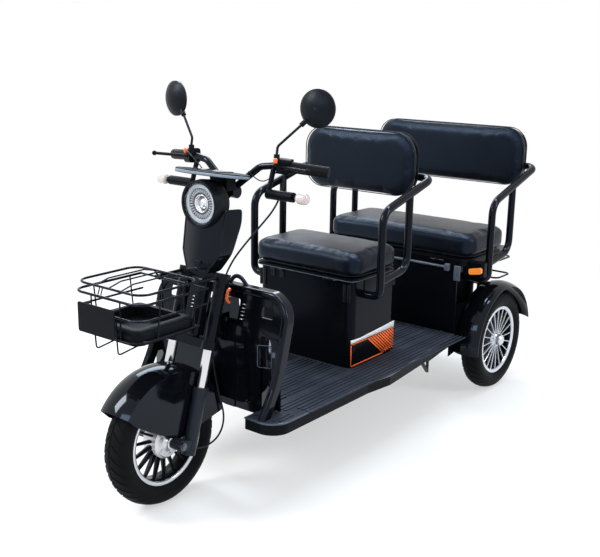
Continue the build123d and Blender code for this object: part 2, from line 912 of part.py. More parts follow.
# ---------------------------------------------------------------- headlamp
lamp_front_y = aft(lamp_y)
lens_seat_y = lamp_front_y + lamp_lens_recess + lamp_lens_thickness + fit_gap
lamp_axis = Axis((0, lamp_front_y, lamp_z), (0, 1, 0))
lamp_arm_foot = (0, lamp_front_y + lamp_depth - lamp_arm_bite, lamp_z - lamp_arm_drop)
lamp_arm_head = tuple(steer_plane.from_local_coords(Vector(0, 0, stem_top - lamp_arm_stem_drop)))
with BuildPart() as headlamp_bucket:
    with BuildSketch(Plane.YZ):
        with BuildLine():
            Polyline(
                (lamp_front_y, lamp_z + lamp_lens_radius + fit_gap),
                (lamp_front_y, lamp_z + lamp_ring_radius),
                (lamp_front_y + lamp_side_depth, lamp_z + lamp_body_radius),
                (lamp_front_y + lamp_depth, lamp_z + lamp_back_radius),
                (lamp_front_y + lamp_depth, lamp_z),
                (lamp_front_y + lamp_bowl_depth, lamp_z),
                (lamp_front_y + lamp_bowl_depth, lamp_z + lamp_bowl_floor_radius),
                (lens_seat_y, lamp_z + lamp_bowl_radius),
                (lens_seat_y, lamp_z + lamp_lens_radius + fit_gap),
                close=True,
            )
        make_face()
    revolve(axis=lamp_axis)
    fillet(headlamp_bucket.edges().filter_by(GeomType.CIRCLE).sort_by(Axis.Y)[-1], radius=lamp_back_round)
    add(straight_rod(lamp_arm_foot, lamp_arm_head, lamp_arm_radius))
    add(fork_yokes.part, mode=Mode.SUBTRACT)
    add(handlebar.part, mode=Mode.SUBTRACT)
finish(headlamp_bucket, "headlamp_bucket")

with BuildPart() as headlamp_lens:
    with BuildSketch(Plane.XZ.offset(-lamp_front_y - lamp_lens_recess)):
        with Locations((0, lamp_z)):
            Circle(lamp_lens_radius)
    extrude(amount=-lamp_lens_thickness)
finish(headlamp_lens, "headlamp_lens")

# ---------------------------------------------------------------- lamp fairing
def fairing_section(height, middle_y, crease, wing):
    """The fairing's wall cut level: a shallow V with a wing swept back on each side."""
    outer = [(0, aft(middle_y)), (crease[0], aft(crease[1])), (wing[0], aft(wing[1]))]
    inner = [
        (wing[0] - fairing_wall, aft(wing[1])),
        (crease[0] - fairing_wall, aft(crease[1]) + fairing_wall),
        (0, aft(middle_y) + fairing_wall),
    ]
    right = [(-x, y) for x, y in reversed(outer[1:])]
    right_inner = [(-x, y) for x, y in reversed(inner[:-1])]
    with BuildSketch(Plane.XY.offset(height)) as level:
        with BuildLine():
            Polyline(*right, *outer, *inner, *right_inner, close=True)
        make_face()
    return level.sketch


fairing_bottom_z = fairing_levels[0][0]
with BuildPart() as lamp_fairing:
    loft([fairing_section(*level) for level in fairing_levels], ruled=True)
    with Locations(Location((0, lamp_front_y, lamp_z), (90, 0, 0))):
        Cylinder(lamp_ring_radius + fairing_lamp_gap, overall_length, mode=Mode.SUBTRACT)
    with Locations((0, aft(fairing_stay_front_y), fairing_bottom_z)):
        Box(fairing_stay_width, fairing_stay_rear_y - fairing_stay_front_y, fairing_stay_thickness,
            align=(Align.CENTER, Align.MIN, Align.MIN))
    add(fork_yokes.part, mode=Mode.SUBTRACT)
finish(lamp_fairing, "lamp_fairing")

# ---------------------------------------------------------------- basket
def rail(front_y, z, rear_y, half_width, radius):
    """A horizontal wire that runs round three sides of the basket."""
    return bent_rod(
        [
            (-half_width, aft(rear_y), z),
            (-half_width, aft(front_y), z),
            (half_width, aft(front_y), z),
            (half_width, aft(rear_y), z),
        ],
        basket_corner,
        radius,
    )


hinge_wire_y = aft(basket_hinge_y)
plate_back_y = aft(-front_overhang) + plate_thickness
basket_wires = [
    rail(rim_rail_front_y, rim_rail_z, rim_rail_rear_y, rim_rail_half_width, rim_rail_radius),
    rail(mid_rail_front_y, mid_rail_z, rim_rail_rear_y, mid_rail_half_width, mid_rail_radius),
    rail(low_rail_front_y, low_rail_z, low_rail_rear_y, low_rail_half_width, mid_rail_radius),
    straight_rod((-rim_rail_half_width, hinge_wire_y, rim_rail_z),
                 (rim_rail_half_width, hinge_wire_y, rim_rail_z), basket_hinge_wire_radius),
    straight_rod((-low_rail_half_width, aft(low_rail_rear_y) - mid_rail_radius, low_rail_z),
                 (low_rail_half_width, aft(low_rail_rear_y) - mid_rail_radius, low_rail_z), post_radius),
]
for side in (1, -1):
    for y in side_post_ys:
        basket_wires.append(straight_rod((side * rim_rail_half_width, aft(y), rim_rail_z),
                                         (side * low_rail_half_width, aft(y), low_rail_z), post_radius))
    basket_wires.append(straight_rod((side * plate_post_x, aft(rim_rail_front_y), rim_rail_z),
                                     (side * plate_post_x, aft(low_rail_front_y), low_rail_z), post_radius))
    basket_wires.append(bent_rod(
        [
            (side * loop_x, aft(mid_rail_front_y), mid_rail_z),
            (side * loop_x, aft(low_rail_front_y) - mid_rail_radius, low_rail_z),
            (side * loop_x, aft(low_rail_front_y), tray_bottom_z - loop_drop),
            (side * loop_x, aft(low_rail_rear_y), tray_bottom_z - 2 * post_radius),
            (side * loop_x, hinge_wire_y, low_rail_z),
            (side * loop_x, hinge_wire_y, rim_rail_z),
        ],
        loop_bend,
        loop_wire_radius,
    ))
    basket_wires.append(straight_rod((side * plate_post_x, aft(rim_rail_front_y), plate_stay_z),
                                     (side * plate_post_x, plate_back_y, plate_stay_z), mid_rail_radius))
    basket_wires.append(straight_rod((side * leg_x, hinge_wire_y, rim_rail_z),
                                     (side * leg_x, hinge_wire_y + basket_stay_length, rim_rail_z),
                                     basket_stay_radius))
with BuildPart() as basket_frame:
    add(basket_wires)
    add(fork_yokes.part, mode=Mode.SUBTRACT)
finish(basket_frame, "basket_frame")

lid_wires = [
    bent_rod(
        [
            (0, aft(lid_rear_y), lid_z),
            (-lid_half_width, aft(lid_rear_y), lid_z),
            (-lid_half_width, aft(lid_front_y), lid_z),
            (lid_half_width, aft(lid_front_y), lid_z),
            (lid_half_width, aft(lid_rear_y), lid_z),
            (lid_rail_radius, aft(lid_rear_y), lid_z),
        ],
        basket_corner,
        lid_rail_radius,
    ),
    straight_rod((-lid_rail_radius, aft(lid_rear_y), lid_z), (2 * lid_rail_radius, aft(lid_rear_y), lid_z),
                 lid_closing_radius),
]
for x in crown_xs:
    lid_wires.append(bent_rod(
        [
            (x, aft(lid_front_y), lid_z),
            (x, aft(lid_front_y) + crown_step, lid_z + crown_rise),
            (x, aft(lid_rear_y) - crown_step, lid_z + crown_rise),
            (x, aft(lid_rear_y), lid_z),
        ],
        crown_bend,
        crown_wire_radius,
    ))
for x in latch_xs:
    lid_wires.append(straight_rod((x, aft(lid_front_y), lid_z),
                                  (x, aft(latch_tip_y), latch_tip_z), latch_radius))
for side in (1, -1):
    lid_wires.append(straight_rod((side * lid_hinge_x, aft(lid_rear_y), lid_z),
                                  (side * lid_hinge_x, hinge_wire_y, rim_rail_z), lid_arm_radius))
    lid_wires.append(straight_rod((side * lid_hinge_x - lid_hinge_length / 2, hinge_wire_y, rim_rail_z),
                                  (side * lid_hinge_x + lid_hinge_length / 2, hinge_wire_y, rim_rail_z),
                                  lid_hinge_radius))
with BuildPart() as basket_lid:
    add(lid_wires)
    add(straight_rod((-rim_rail_half_width, hinge_wire_y, rim_rail_z),
                     (rim_rail_half_width, hinge_wire_y, rim_rail_z),
                     basket_hinge_wire_radius + running_gap), mode=Mode.SUBTRACT)
finish(basket_lid, "basket_lid")

tray_length = tray_rear_y - tray_front_y
with BuildPart() as basket_tray:
    with BuildSketch(Plane.XY.offset(tray_bottom_z)):
        with Locations((0, aft(tray_front_y + tray_length / 2))):
            RectangleRounded(2 * tray_half_width, tray_length, tray_corner)
    extrude(amount=tray_top_z - tray_bottom_z)
    fillet(basket_tray.faces().sort_by(Axis.Z)[-1].edges(), radius=tray_lip_round)
    with BuildSketch(Plane.XY.offset(tray_bottom_z + tray_floor)):
        with Locations((0, aft(tray_front_y + tray_length / 2))):
            RectangleRounded(2 * (tray_half_width - tray_lip_width), tray_length - 2 * tray_lip_width,
                             tray_corner - tray_lip_width / 2)
    extrude(amount=tray_top_z - tray_bottom_z, mode=Mode.SUBTRACT)
    add(basket_frame.part, mode=Mode.SUBTRACT)
finish(basket_tray, "basket_tray")

with BuildPart() as basket_plate:
    with BuildSketch(Plane.XZ.offset(-plate_back_y)):
        with Locations((0, plate_top_z - plate_height / 2)):
            RectangleRounded(plate_width, plate_height, plate_corner)
    extrude(amount=plate_thickness)
finish(basket_plate, "basket_plate")

# ---------------------------------------------------------------- main frame
rail_top_z = floor_top_z - floor_thickness
rear_rail_top_z = rail_top_z + rear_rail_height
floor_recess_y = down_tube_y + spine_height / 2 + frame_gap
neck_place = Vector(0, head_tube_radius / 2, (head_tube_bottom + head_tube_top) / 2)
neck_start = steer_plane.from_local_coords(neck_place)
with BuildPart() as main_frame:
    for side in (1, -1):
        with Locations((side * rail_x, aft((rail_front_y + rail_step_y) / 2), rail_top_z - rail_height / 2)):
            Box(rail_width, rail_step_y - rail_front_y, rail_height)
        with Locations((side * rail_x, aft((rail_step_y + rail_rear_y) / 2),
                        rail_top_z + rear_rail_height / 2)):
            Box(rail_width, rail_rear_y - rail_step_y, rear_rail_height)
        with Locations((side * rail_x, aft(rail_step_y), rail_top_z - rail_height / 2)):
            Box(rail_width, 2 * rail_width, rail_height)
    for y in cross_member_ys:
        with Locations((0, aft(y), rail_top_z - rail_height / 2)):
            Box(2 * rail_x, cross_depth, rail_height)
    with Locations((0, aft(rail_rear_y) - cross_depth / 2, rail_top_z + rear_rail_height / 2)):
        Box(2 * rail_x, cross_depth, rear_rail_height)
    with BuildSketch(Plane.YZ):
        with BuildLine():
            Polyline(
                (neck_start.Y, neck_z - spine_height / 2),
                (neck_start.Y, neck_z + spine_height / 2),
                (aft(neck_end_y) + spine_height / 2, neck_z + spine_height / 2),
                (aft(down_tube_y) + spine_height / 2, rail_top_z - rail_height),
                (aft(down_tube_y) - spine_height / 2, rail_top_z - rail_height),
                (aft(neck_end_y) - spine_height / 2, neck_z - spine_height / 2),
                close=True,
            )
        make_face()
    extrude(amount=spine_width / 2, both=True)
    with BuildSketch(steer_plane.offset(head_tube_bottom)):
        Circle(head_tube_radius)
    extrude(amount=head_tube_top - head_tube_bottom)
    with BuildSketch(steer_plane.offset(head_tube_bottom - 1)):
        Circle(stem_radius + running_gap)
    extrude(amount=head_tube_top - head_tube_bottom + 2, mode=Mode.SUBTRACT)
finish(main_frame, "main_frame")

# ---------------------------------------------------------------- floor
with BuildPart() as floor_deck:
    with BuildSketch(Plane.XY.offset(rail_top_z)):
        with BuildLine():
            Polyline(
                (0, aft(floor_recess_y)),
                (floor_horn_x, aft(floor_recess_y)),
                (floor_horn_x, aft(floor_front_y)),
                (floor_half_width, aft(floor_front_y)),
                (floor_half_width, aft(floor_step_start)),
                (floor_wide_half_width, aft(floor_step_end)),
                (floor_rear_half_width, aft(floor_rear_y)),
                (0, aft(floor_rear_y)),
                close=True,
            )
        make_face()
        mirror(about=Plane.YZ)
    extrude(amount=floor_thickness)
    horn_edges = floor_deck.edges().filter_by(Axis.Z).group_by(Axis.Y)[0].sort_by(Axis.X)
    fillet([horn_edges[0], horn_edges[-1]], radius=floor_front_corner)
finish(floor_deck, "floor_deck")

# ---------------------------------------------------------------- leg shield
def side_band(line, shift, depth):
    """Side view of a shield part: a band that follows a bent line."""
    front = [(aft(y) + shift, z) for y, z in line]
    back = [(y + depth, z) for y, z in front]
    with BuildSketch(Plane.YZ) as band:
        with BuildLine():
            near = FilletPolyline(*front, radius=shield_bend)
            far = FilletPolyline(*back, radius=shield_bend)
            Line(near @ 0, far @ 0)
            Line(near @ 1, far @ 1)
        make_face()
    return band.sketch


rim_line = (
    (shield_foot_y, floor_top_z),
    (shield_knee_y, shield_knee_z),
    (shield_wall_y, shield_wall_z),
    (shield_top_y, shield_top_z),
)
wall_line = ((shield_wall_y, floor_top_z), (shield_wall_y, shield_wall_z), (shield_top_y, shield_top_z))


def arch_outline(inset, bottom_z):
    """The shield's arch seen from the front, inset from its outer line."""
    half = shield_half_width - inset
    with BuildSketch(Plane.XZ) as arch:
        with BuildLine():
            FilletPolyline(
                (-half, bottom_z),
                (-half, shield_top_z - inset),
                (half, shield_top_z - inset),
                (half, bottom_z),
                radius=shield_corner - inset,
            )
            Line((half, bottom_z), (-half, bottom_z))
        make_face()
    return arch.sketch


with BuildPart() as leg_shield_rim:
    extrude(arch_outline(0, floor_top_z), amount=overall_length, both=True)
    extrude(arch_outline(shield_rim_width, floor_top_z), amount=overall_length, both=True,
            mode=Mode.SUBTRACT)
    extrude(side_band(rim_line, 0, shield_rim_depth), amount=shield_half_width, both=True,
            mode=Mode.INTERSECT)
    long_edges = [edge for edge in leg_shield_rim.edges() if abs(edge.bounding_box().size.Z) > 1
                  or abs(edge.center().Z - shield_top_z) < shield_rim_width + 1]
    fillet(long_edges, radius=shield_rim_round)
finish(leg_shield_rim, "leg_shield_rim")

slot_centre_x = (slot_in_x + slot_out_x) / 2
slot_centre_z = (slot_low_z + slot_high_z) / 2
window_centre_z = (window_low_z + window_high_z) / 2
with BuildPart() as leg_shield_panel:
    extrude(arch_outline(shield_rim_width, panel_band_z), amount=overall_length, both=True)
    with BuildSketch(Plane.XZ):
        with Locations((0, (panel_bottom_z + panel_band_z) / 2)):
            Rectangle(2 * panel_half_width, panel_band_z - panel_bottom_z)
    extrude(amount=overall_length, both=True)
    with BuildSketch(Plane.XZ):
        with Locations((0, window_centre_z)):
            RectangleRounded(2 * window_half_width, window_high_z - window_low_z, window_corner)
        with Locations((slot_centre_x, slot_centre_z), (-slot_centre_x, slot_centre_z)):
            RectangleRounded(slot_out_x - slot_in_x, slot_high_z - slot_low_z, slot_corner)
    extrude(amount=overall_length, both=True, mode=Mode.SUBTRACT)
    extrude(side_band(wall_line, panel_setback, panel_wall), amount=shield_half_width, both=True,
            mode=Mode.INTERSECT)
with BuildPart() as front_cover:
    with BuildSketch(Plane.XZ) as cover_face:
        with BuildLine():
            Polyline(
                (-cover_half_width_bottom, panel_bottom_z),
                (-cover_half_width_top, cover_top_z),
                (cover_half_width_top, cover_top_z),
                (cover_half_width_bottom, panel_bottom_z),
                close=True,
            )
        make_face()
        fillet(cover_face.vertices().group_by(Axis.Z)[-1], radius=cover_corner)
    extrude(amount=overall_length, both=True)
    extrude(side_band(wall_line, panel_setback - cover_depth, cover_depth + 1), amount=shield_half_width,
            both=True, mode=Mode.INTERSECT)
with BuildPart() as shield_front:
    add(leg_shield_panel.part)
    add(front_cover.part)
    add(main_frame.part, mode=Mode.SUBTRACT)
finish(shield_front, "leg_shield_panel")

with BuildPart() as bag_hook:
    add(bent_rod(
        [
            (hook_x, aft(shield_top_y) + shield_rim_width / 2, hook_top_z),
            (hook_x, aft(hook_front_y) + hook_drop, hook_top_z - hook_drop),
            (hook_x, aft(hook_front_y), hook_bend_z),
            (hook_x, aft(hook_tip_y), hook_tip_z),
        ],
        hook_bend,
        hook_radius,
    ))
    add(leg_shield_rim.part, mode=Mode.SUBTRACT)
finish(bag_hook, "bag_hook")

# ---------------------------------------------------------------- storage box under the front seat
def open_box(half_width, front_y, rear_y, bottom_z, top_z, corner):
    """A moulded box with an open top."""
    with BuildPart() as box:
        with BuildSketch(Plane.XY.offset(bottom_z)):
            with Locations((0, aft((front_y + rear_y) / 2))):
                RectangleRounded(2 * half_width, rear_y - front_y, corner)
        extrude(amount=top_z - bottom_z)
        with BuildSketch(Plane.XY.offset(bottom_z + box_wall)):
            with Locations((0, aft((front_y + rear_y) / 2))):
                RectangleRounded(2 * (half_width - box_wall), rear_y - front_y - 2 * box_wall,
                                 corner - box_wall)
        extrude(amount=top_z - bottom_z, mode=Mode.SUBTRACT)
    return box.part


with BuildPart() as front_seat_box:
    add(open_box(front_box_half_width, front_box_front_y, front_box_rear_y, floor_top_z,
                 front_box_top_z, box_corner))
finish(front_seat_box, "front_seat_box")

with BuildPart() as battery_block:
    with Locations((0, aft((front_box_front_y + front_box_rear_y) / 2), floor_top_z + box_wall)):
        Box(battery_width, battery_depth, battery_height, align=on_top)
finish(battery_block, "battery_block")

# ---------------------------------------------------------------- box under the rear seat
with BuildPart() as left_pod:
    with Locations(((marker_pod_in_x + marker_pod_out_x) / 2, aft(marker_y),
                    rear_box_top_z - (marker_pod_height + rear_tray_wall) / 2)):
        Box(marker_pod_out_x - marker_pod_in_x, marker_pod_depth, marker_pod_height + rear_tray_wall)
    fillet(left_pod.edges().filter_by(Axis.Z).sort_by(Axis.X)[-2:], radius=marker_pod_round)
with BuildPart() as rear_seat_box:
    add(open_box(rear_box_half_width, rear_box_front_y, rear_box_rear_y, rear_rail_top_z,
                 rear_box_top_z, box_corner))
    with BuildSketch(Plane.XY.offset(rear_box_top_z - rear_tray_wall)):
        with Locations((0, aft((rear_box_front_y + rear_tray_rear_y) / 2))):
            RectangleRounded(2 * rear_pan_half_width, rear_tray_rear_y - rear_box_front_y, box_corner)
        with Locations((0, aft((rear_box_front_y + rear_box_rear_y) / 2))):
            RectangleRounded(2 * (rear_box_half_width - box_wall),
                             rear_box_rear_y - rear_box_front_y - 2 * box_wall,
                             box_corner - box_wall, mode=Mode.SUBTRACT)
    extrude(amount=rear_tray_wall)
    with Locations((0, aft(rear_box_front_y) + rear_front_wall / 2, (rear_rail_top_z + rear_box_top_z) / 2)):
        Box(2 * rear_front_half_width, rear_front_wall, rear_box_top_z - rear_rail_top_z)
    add(left_pod.part)
    add(mirrored(left_pod.part))
finish(rear_seat_box, "rear_seat_box")

pod_front_y = aft(marker_y) - marker_pod_depth / 2
with BuildPart() as left_marker:
    with BuildSketch(Plane.XZ.offset(-pod_front_y)) as lens_face:
        with BuildLine():
            Polyline(*marker_lens_outline, close=True)
        make_face()
        fillet(lens_face.vertices(), radius=marker_lens_round)
    extrude(amount=marker_lens_depth)
with BuildPart() as marker_lenses:
    add(left_marker.part)
    add(mirrored(left_marker.part))
finish(marker_lenses, "marker_lenses")

with BuildPart() as tail_lamps:
    for side in (1, -1):
        with Locations((side * tail_lamp_x, aft(rear_box_rear_y) + tail_lamp_depth / 2, tail_lamp_z)):
            Box(tail_lamp_width, tail_lamp_depth, tail_lamp_height)
    fillet(tail_lamps.edges().filter_by(Axis.Y), radius=tail_lamp_round)
finish(tail_lamps, "tail_lamps")

# ---------------------------------------------------------------- seats
def seat_arms(arm_x, foot_x, leg_y, foot_z, knee_z, back_z, cross_y, strut_y, strut_top, strut_low):
    """Armrest tube that runs up one side, behind the backrest and down the other, with its struts."""
    half = [
        (foot_x, aft(leg_y), foot_z),
        (arm_x, aft(leg_y), foot_z),
        (arm_x, aft(leg_y), knee_z),
        (arm_x, aft(cross_y), back_z),
    ]
    other = [(-x, y, z) for x, y, z in reversed(half)]
    bends = [foot_bend, arm_bend, back_bend, back_bend, arm_bend, foot_bend]
    strut = bent_rod(
        [
            (arm_x, aft(strut_y), strut_top),
            (arm_x, aft(strut_y), strut_low),
            (arm_x, aft(leg_y), strut_low - strut_fall),
        ],
        arm_bend,
        strut_radius,
    )
    with BuildPart() as arms:
        add(bent_rod(half + other, bends, seat_tube_radius))
        add(strut)
        add(mirrored(strut))
    return arms


def backrest(half_width, front_y, low_z, high_z):
    """A flat padded backrest with rounded corners."""
    with BuildPart() as pad:
        with BuildSketch(Plane.XZ.offset(-aft(front_y))):
            with Locations((0, (low_z + high_z) / 2)):
                RectangleRounded(2 * half_width, high_z - low_z, back_corner)
        extrude(amount=-back_thickness)
        fillet(pad.faces().sort_by(Axis.Y)[0].edges(), radius=back_edge)
    return pad


def back_shell_plate(half_width, front_y, low_z, high_z):
    """The stiff plate behind a backrest's padding."""
    with BuildPart() as plate:
        with BuildSketch(Plane.XZ.offset(-aft(front_y) - back_thickness - soft_gap)):
            with Locations((0, (low_z + high_z) / 2)):
                RectangleRounded(2 * (half_width - shell_inset), high_z - low_z - 2 * shell_inset,
                                 back_corner - shell_inset)
        extrude(amount=-back_shell)
    return plate.part


front_cross_y = front_back_y + back_thickness + soft_gap + back_shell + fit_gap + seat_tube_radius
rear_cross_y = rear_back_y + back_thickness + soft_gap + back_shell + fit_gap + seat_tube_radius
front_seat_arms = seat_arms(front_arm_x, front_box_half_width, front_leg_y, front_arm_foot_z,
                            front_arm_knee_z, front_arm_back_z, front_cross_y,
                            front_strut_y, front_strut_top_z, front_strut_low_z)
finish(front_seat_arms, "front_seat_arms")
rear_seat_arms = seat_arms(rear_arm_x, rear_box_half_width, rear_leg_y, rear_arm_foot_z, rear_arm_knee_z,
                           rear_arm_back_z, rear_cross_y,
                           rear_strut_y, rear_strut_top_z, rear_strut_low_z)
finish(rear_seat_arms, "rear_seat_arms")
front_backrest = backrest(front_back_half_width, front_back_y, front_back_low_z, front_back_high_z)
finish(front_backrest, "front_backrest")
rear_backrest = backrest(rear_back_half_width, rear_back_y, rear_back_low_z, rear_back_high_z)
finish(rear_backrest, "rear_backrest")
with BuildPart() as backrest_shells:
    add(back_shell_plate(front_back_half_width, front_back_y, front_back_low_z, front_back_high_z))
    add(back_shell_plate(rear_back_half_width, rear_back_y, rear_back_low_z, rear_back_high_z))
finish(backrest_shells, "backrest_shells")


def hinge_axis(box_front_y, box_top_z):
    """Where a seat's hinge pin runs: just ahead of the box and below the seat's base."""
    return aft(box_front_y) - hinge_radius, box_top_z - hinge_radius - seat_gap


def knuckle(x, y, z, length, bore):
    """A hinge knuckle along X."""
    with BuildPart(Plane(origin=(x, y, z), x_dir=(0, 1, 0), z_dir=(1, 0, 0))) as tube:
        Cylinder(hinge_radius, length)
        if bore:
            Cylinder(bore, length + 2, mode=Mode.SUBTRACT)
    return tube.part


with BuildPart() as seat_hinges:
    for box_front_y, box_top_z, spacing in ((front_box_front_y, front_box_top_z, front_hinge_spacing),
                                            (rear_box_front_y, rear_box_top_z, rear_hinge_spacing)):
        pin_y, pin_z = hinge_axis(box_front_y, box_top_z)
        for x in (-spacing / 2, spacing / 2):
            for end in (-1, 1):
                add(knuckle(x + end * hinge_length / 3, pin_y, pin_z, hinge_length / 3 - 2 * seat_gap, 0))
            with Locations(Location((x, pin_y, pin_z), (0, 90, 0))):
                Cylinder(hinge_pin_radius, hinge_length)
            for end in (-1, 1):
                with Locations((x + end * hinge_length / 3, pin_y + hinge_radius - hinge_leaf / 2,
                                pin_z - hinge_leaf_height / 2)):
                    Box(hinge_length / 3 - 2 * seat_gap, hinge_leaf, hinge_leaf_height)
finish(seat_hinges, "seat_hinges")


def seat_pan(half_width, front_y, rear_y, box_front_y, box_top_z, spacing):
    """The stiff base of a seat cushion, hinged at its front edge."""
    pin_y, pin_z = hinge_axis(box_front_y, box_top_z)
    base_z = box_top_z + seat_gap
    with BuildPart() as pan:
        with BuildSketch(Plane.XY.offset(base_z)):
            with Locations((0, aft((front_y + rear_y) / 2))):
                RectangleRounded(2 * half_width, rear_y - front_y, box_corner)
        extrude(amount=pan_thickness)
        for x in (-spacing / 2, spacing / 2):
            add(knuckle(x, pin_y, pin_z, hinge_length / 3 - 2 * seat_gap, 0))
            with Locations((x, pin_y, pin_z)):
                Box(hinge_length / 3 - 2 * seat_gap, hinge_radius, base_z - pin_z + pan_thickness / 2,
                    align=on_top)
            with Locations((x, pin_y - hinge_radius / 2, base_z)):
                Box(hinge_length / 3 - 2 * seat_gap, aft(front_y) - pin_y + 2 * hinge_radius, pan_thickness,
                    align=(Align.CENTER, Align.MIN, Align.MIN))
            with Locations(Location((x, pin_y, pin_z), (0, 90, 0))):
                Cylinder(hinge_pin_radius + running_gap, hinge_length, mode=Mode.SUBTRACT)
    return pan


def cushion(half_width, front_y, rear_y, base_z, height):
    """A padded seat cushion with rounded corners."""
    with BuildPart() as pad:
        with BuildSketch(Plane.XY.offset(base_z)):
            with Locations((0, aft((front_y + rear_y) / 2))):
                RectangleRounded(2 * half_width, rear_y - front_y, cushion_corner)
        extrude(amount=height)
        fillet(pad.faces().sort_by(Axis.Z)[-1].edges(), radius=cushion_edge)
    return pad


front_cushion_front_y = front_box_front_y - front_cushion_lead
front_cushion_rear_y = front_cushion_front_y + front_cushion_depth
rear_cushion_front_y = rear_box_front_y + rear_cushion_lag
rear_cushion_rear_y = rear_cushion_front_y + rear_cushion_depth
front_pan = seat_pan(front_cushion_half_width - pan_inset, front_cushion_front_y + pan_inset / 2,
                     front_cushion_rear_y - pan_inset, front_box_front_y, front_box_top_z,
                     front_hinge_spacing)
finish(front_pan, "front_seat_pan")
rear_pan = seat_pan(rear_cushion_half_width - pan_inset, rear_cushion_front_y - pan_inset / 2,
                    rear_cushion_rear_y - pan_inset, rear_box_front_y, rear_box_top_z, rear_hinge_spacing)
finish(rear_pan, "rear_seat_pan")
front_cushion = cushion(front_cushion_half_width, front_cushion_front_y, front_cushion_rear_y,
                        front_box_top_z + seat_gap + pan_thickness + soft_gap, front_cushion_height)
finish(front_cushion, "front_seat_cushion")
rear_cushion = cushion(rear_cushion_half_width, rear_cushion_front_y, rear_cushion_rear_y,
                       rear_box_top_z + seat_gap + pan_thickness + soft_gap, rear_cushion_height)
finish(rear_cushion, "rear_seat_cushion")

# ---------------------------------------------------------------- rear mudguards
rear_guard_inner_x = rear_track / 2 - rear_guard_inner_reach
rear_guard_outer_x = rear_track / 2 + rear_guard_outer_reach
rear_guard_span = 180 - rear_guard_front_angle - rear_guard_rear_angle
left_centre = (0, rear_axle_y, wheel_radius)
with BuildPart() as left_guard:
    add(guard_crown_band(left_centre, rear_guard_inner_x, rear_guard_outer_x, rear_guard_edge_radius,
                         rear_guard_crown, guard_wall, rear_guard_front_angle, rear_guard_span))
    skirt_radius = rear_guard_edge_radius - guard_wall / 2
    low_angle = math.radians(rear_guard_front_angle)
    high_angle = math.radians(skirt_top_angle)
    arc_points = [
        (rear_axle_y - skirt_radius * math.cos(angle), wheel_radius + skirt_radius * math.sin(angle))
        for angle in (high_angle, (high_angle + low_angle) / 2, low_angle)
    ]
    skirt_front_y = aft(rear_box_front_y) + rear_front_wall
    with BuildSketch(Plane.YZ.offset(rear_guard_inner_x)):
        with BuildLine():
            ThreePointArc(*arc_points)
            Polyline(
                arc_points[-1],
                (skirt_front_y, skirt_bottom_z),
                (skirt_front_y, arc_points[0][1]),
                arc_points[0],
            )
        make_face()
    extrude(amount=guard_wall)
    strap_z = wheel_radius + rear_guard_edge_radius - guard_strap - seat_gap
    with Locations((rear_box_half_width, rear_axle_y, strap_z)):
        Box(rear_guard_inner_x - rear_box_half_width + guard_strap, guard_bracket_depth, guard_strap,
            align=(Align.MIN, Align.CENTER, Align.MIN))
with BuildPart() as rear_mudguards:
    add(left_guard.part)
    add(mirrored(left_guard.part))
finish(rear_mudguards, "rear_mudguards")

# ---------------------------------------------------------------- rear axle
axle_tube_half_length = rear_track / 2 - rear_hub_half_length - drum_gap - brake_plate_width
axle_line = Plane(origin=(0, rear_axle_y, wheel_radius), x_dir=(0, 1, 0), z_dir=(1, 0, 0))
spindle_half_length = rear_track / 2 + spindle_reach
with BuildPart(axle_line) as rear_axle_housing:
    Cylinder(axle_tube_radius, 2 * axle_tube_half_length)
    Cylinder(spindle_radius, 2 * spindle_half_length)
    plate_place = axle_tube_half_length + brake_plate_width / 2
    with Locations((0, 0, plate_place), (0, 0, -plate_place)):
        Cylinder(brake_plate_radius, brake_plate_width)
with BuildPart() as axle_with_saddles:
    add(rear_axle_housing.part)
    for side in (1, -1):
        with Locations((side * rail_x, rear_axle_y, wheel_radius)):
            Box(rail_width, saddle_length, rail_top_z - wheel_radius, align=on_top)
        with Locations((side * shock_x, rear_axle_y, wheel_radius)):
            Box(shock_lug_width, shock_y - wheelbase + shock_radius, shock_lug_height,
                align=(Align.CENTER, Align.MIN, Align.CENTER))
finish(axle_with_saddles, "rear_axle_housing")

with BuildPart() as drive_motor:
    motor_y = rear_axle_y - axle_tube_radius - motor_radius - motor_gap
    with Locations(Location((0, motor_y, wheel_radius), (0, 90, 0))):
        Cylinder(motor_radius, motor_length)
    with Locations((0, motor_y, wheel_radius)):
        Box(gear_case_width, motor_radius + motor_gap + axle_tube_radius, gear_case_height,
            align=(Align.CENTER, Align.MIN, Align.CENTER))
    add(axle_with_saddles.part, mode=Mode.SUBTRACT)
finish(drive_motor, "drive_motor")

shock_bottom_z = wheel_radius + shock_lug_height / 2
shock_top_z = rear_box_top_z - rear_tray_wall
with BuildPart() as rear_shocks:
    for side in (1, -1):
        with Locations((side * shock_x, aft(shock_y), shock_bottom_z)):
            Cylinder(shock_rod_radius, shock_top_z - shock_bottom_z, align=on_top)
        with Locations((side * shock_x, aft(shock_y), shock_bottom_z + shock_rod_length)):
            Cylinder(shock_radius, shock_top_z - shock_bottom_z - 2 * shock_rod_length, align=on_top)
finish(rear_shocks, "rear_shocks")

# ---------------------------------------------------------------- rack behind the rear seat
def rack_loop(z):
    """A wire that leaves the rear box, runs out and round behind it."""
    corner = [
        (rack_root_x, aft(rear_box_rear_y), z),
        (rack_root_x, aft(rack_turn_y), z),
        (rack_half_width, aft(rack_turn_y), z),
        (rack_half_width, aft(rear_reach) - rack_wire_radius, z),
    ]
    other = [(-x, y, w) for x, y, w in reversed(corner)]
    return bent_rod(corner + other, rack_bend, rack_wire_radius)


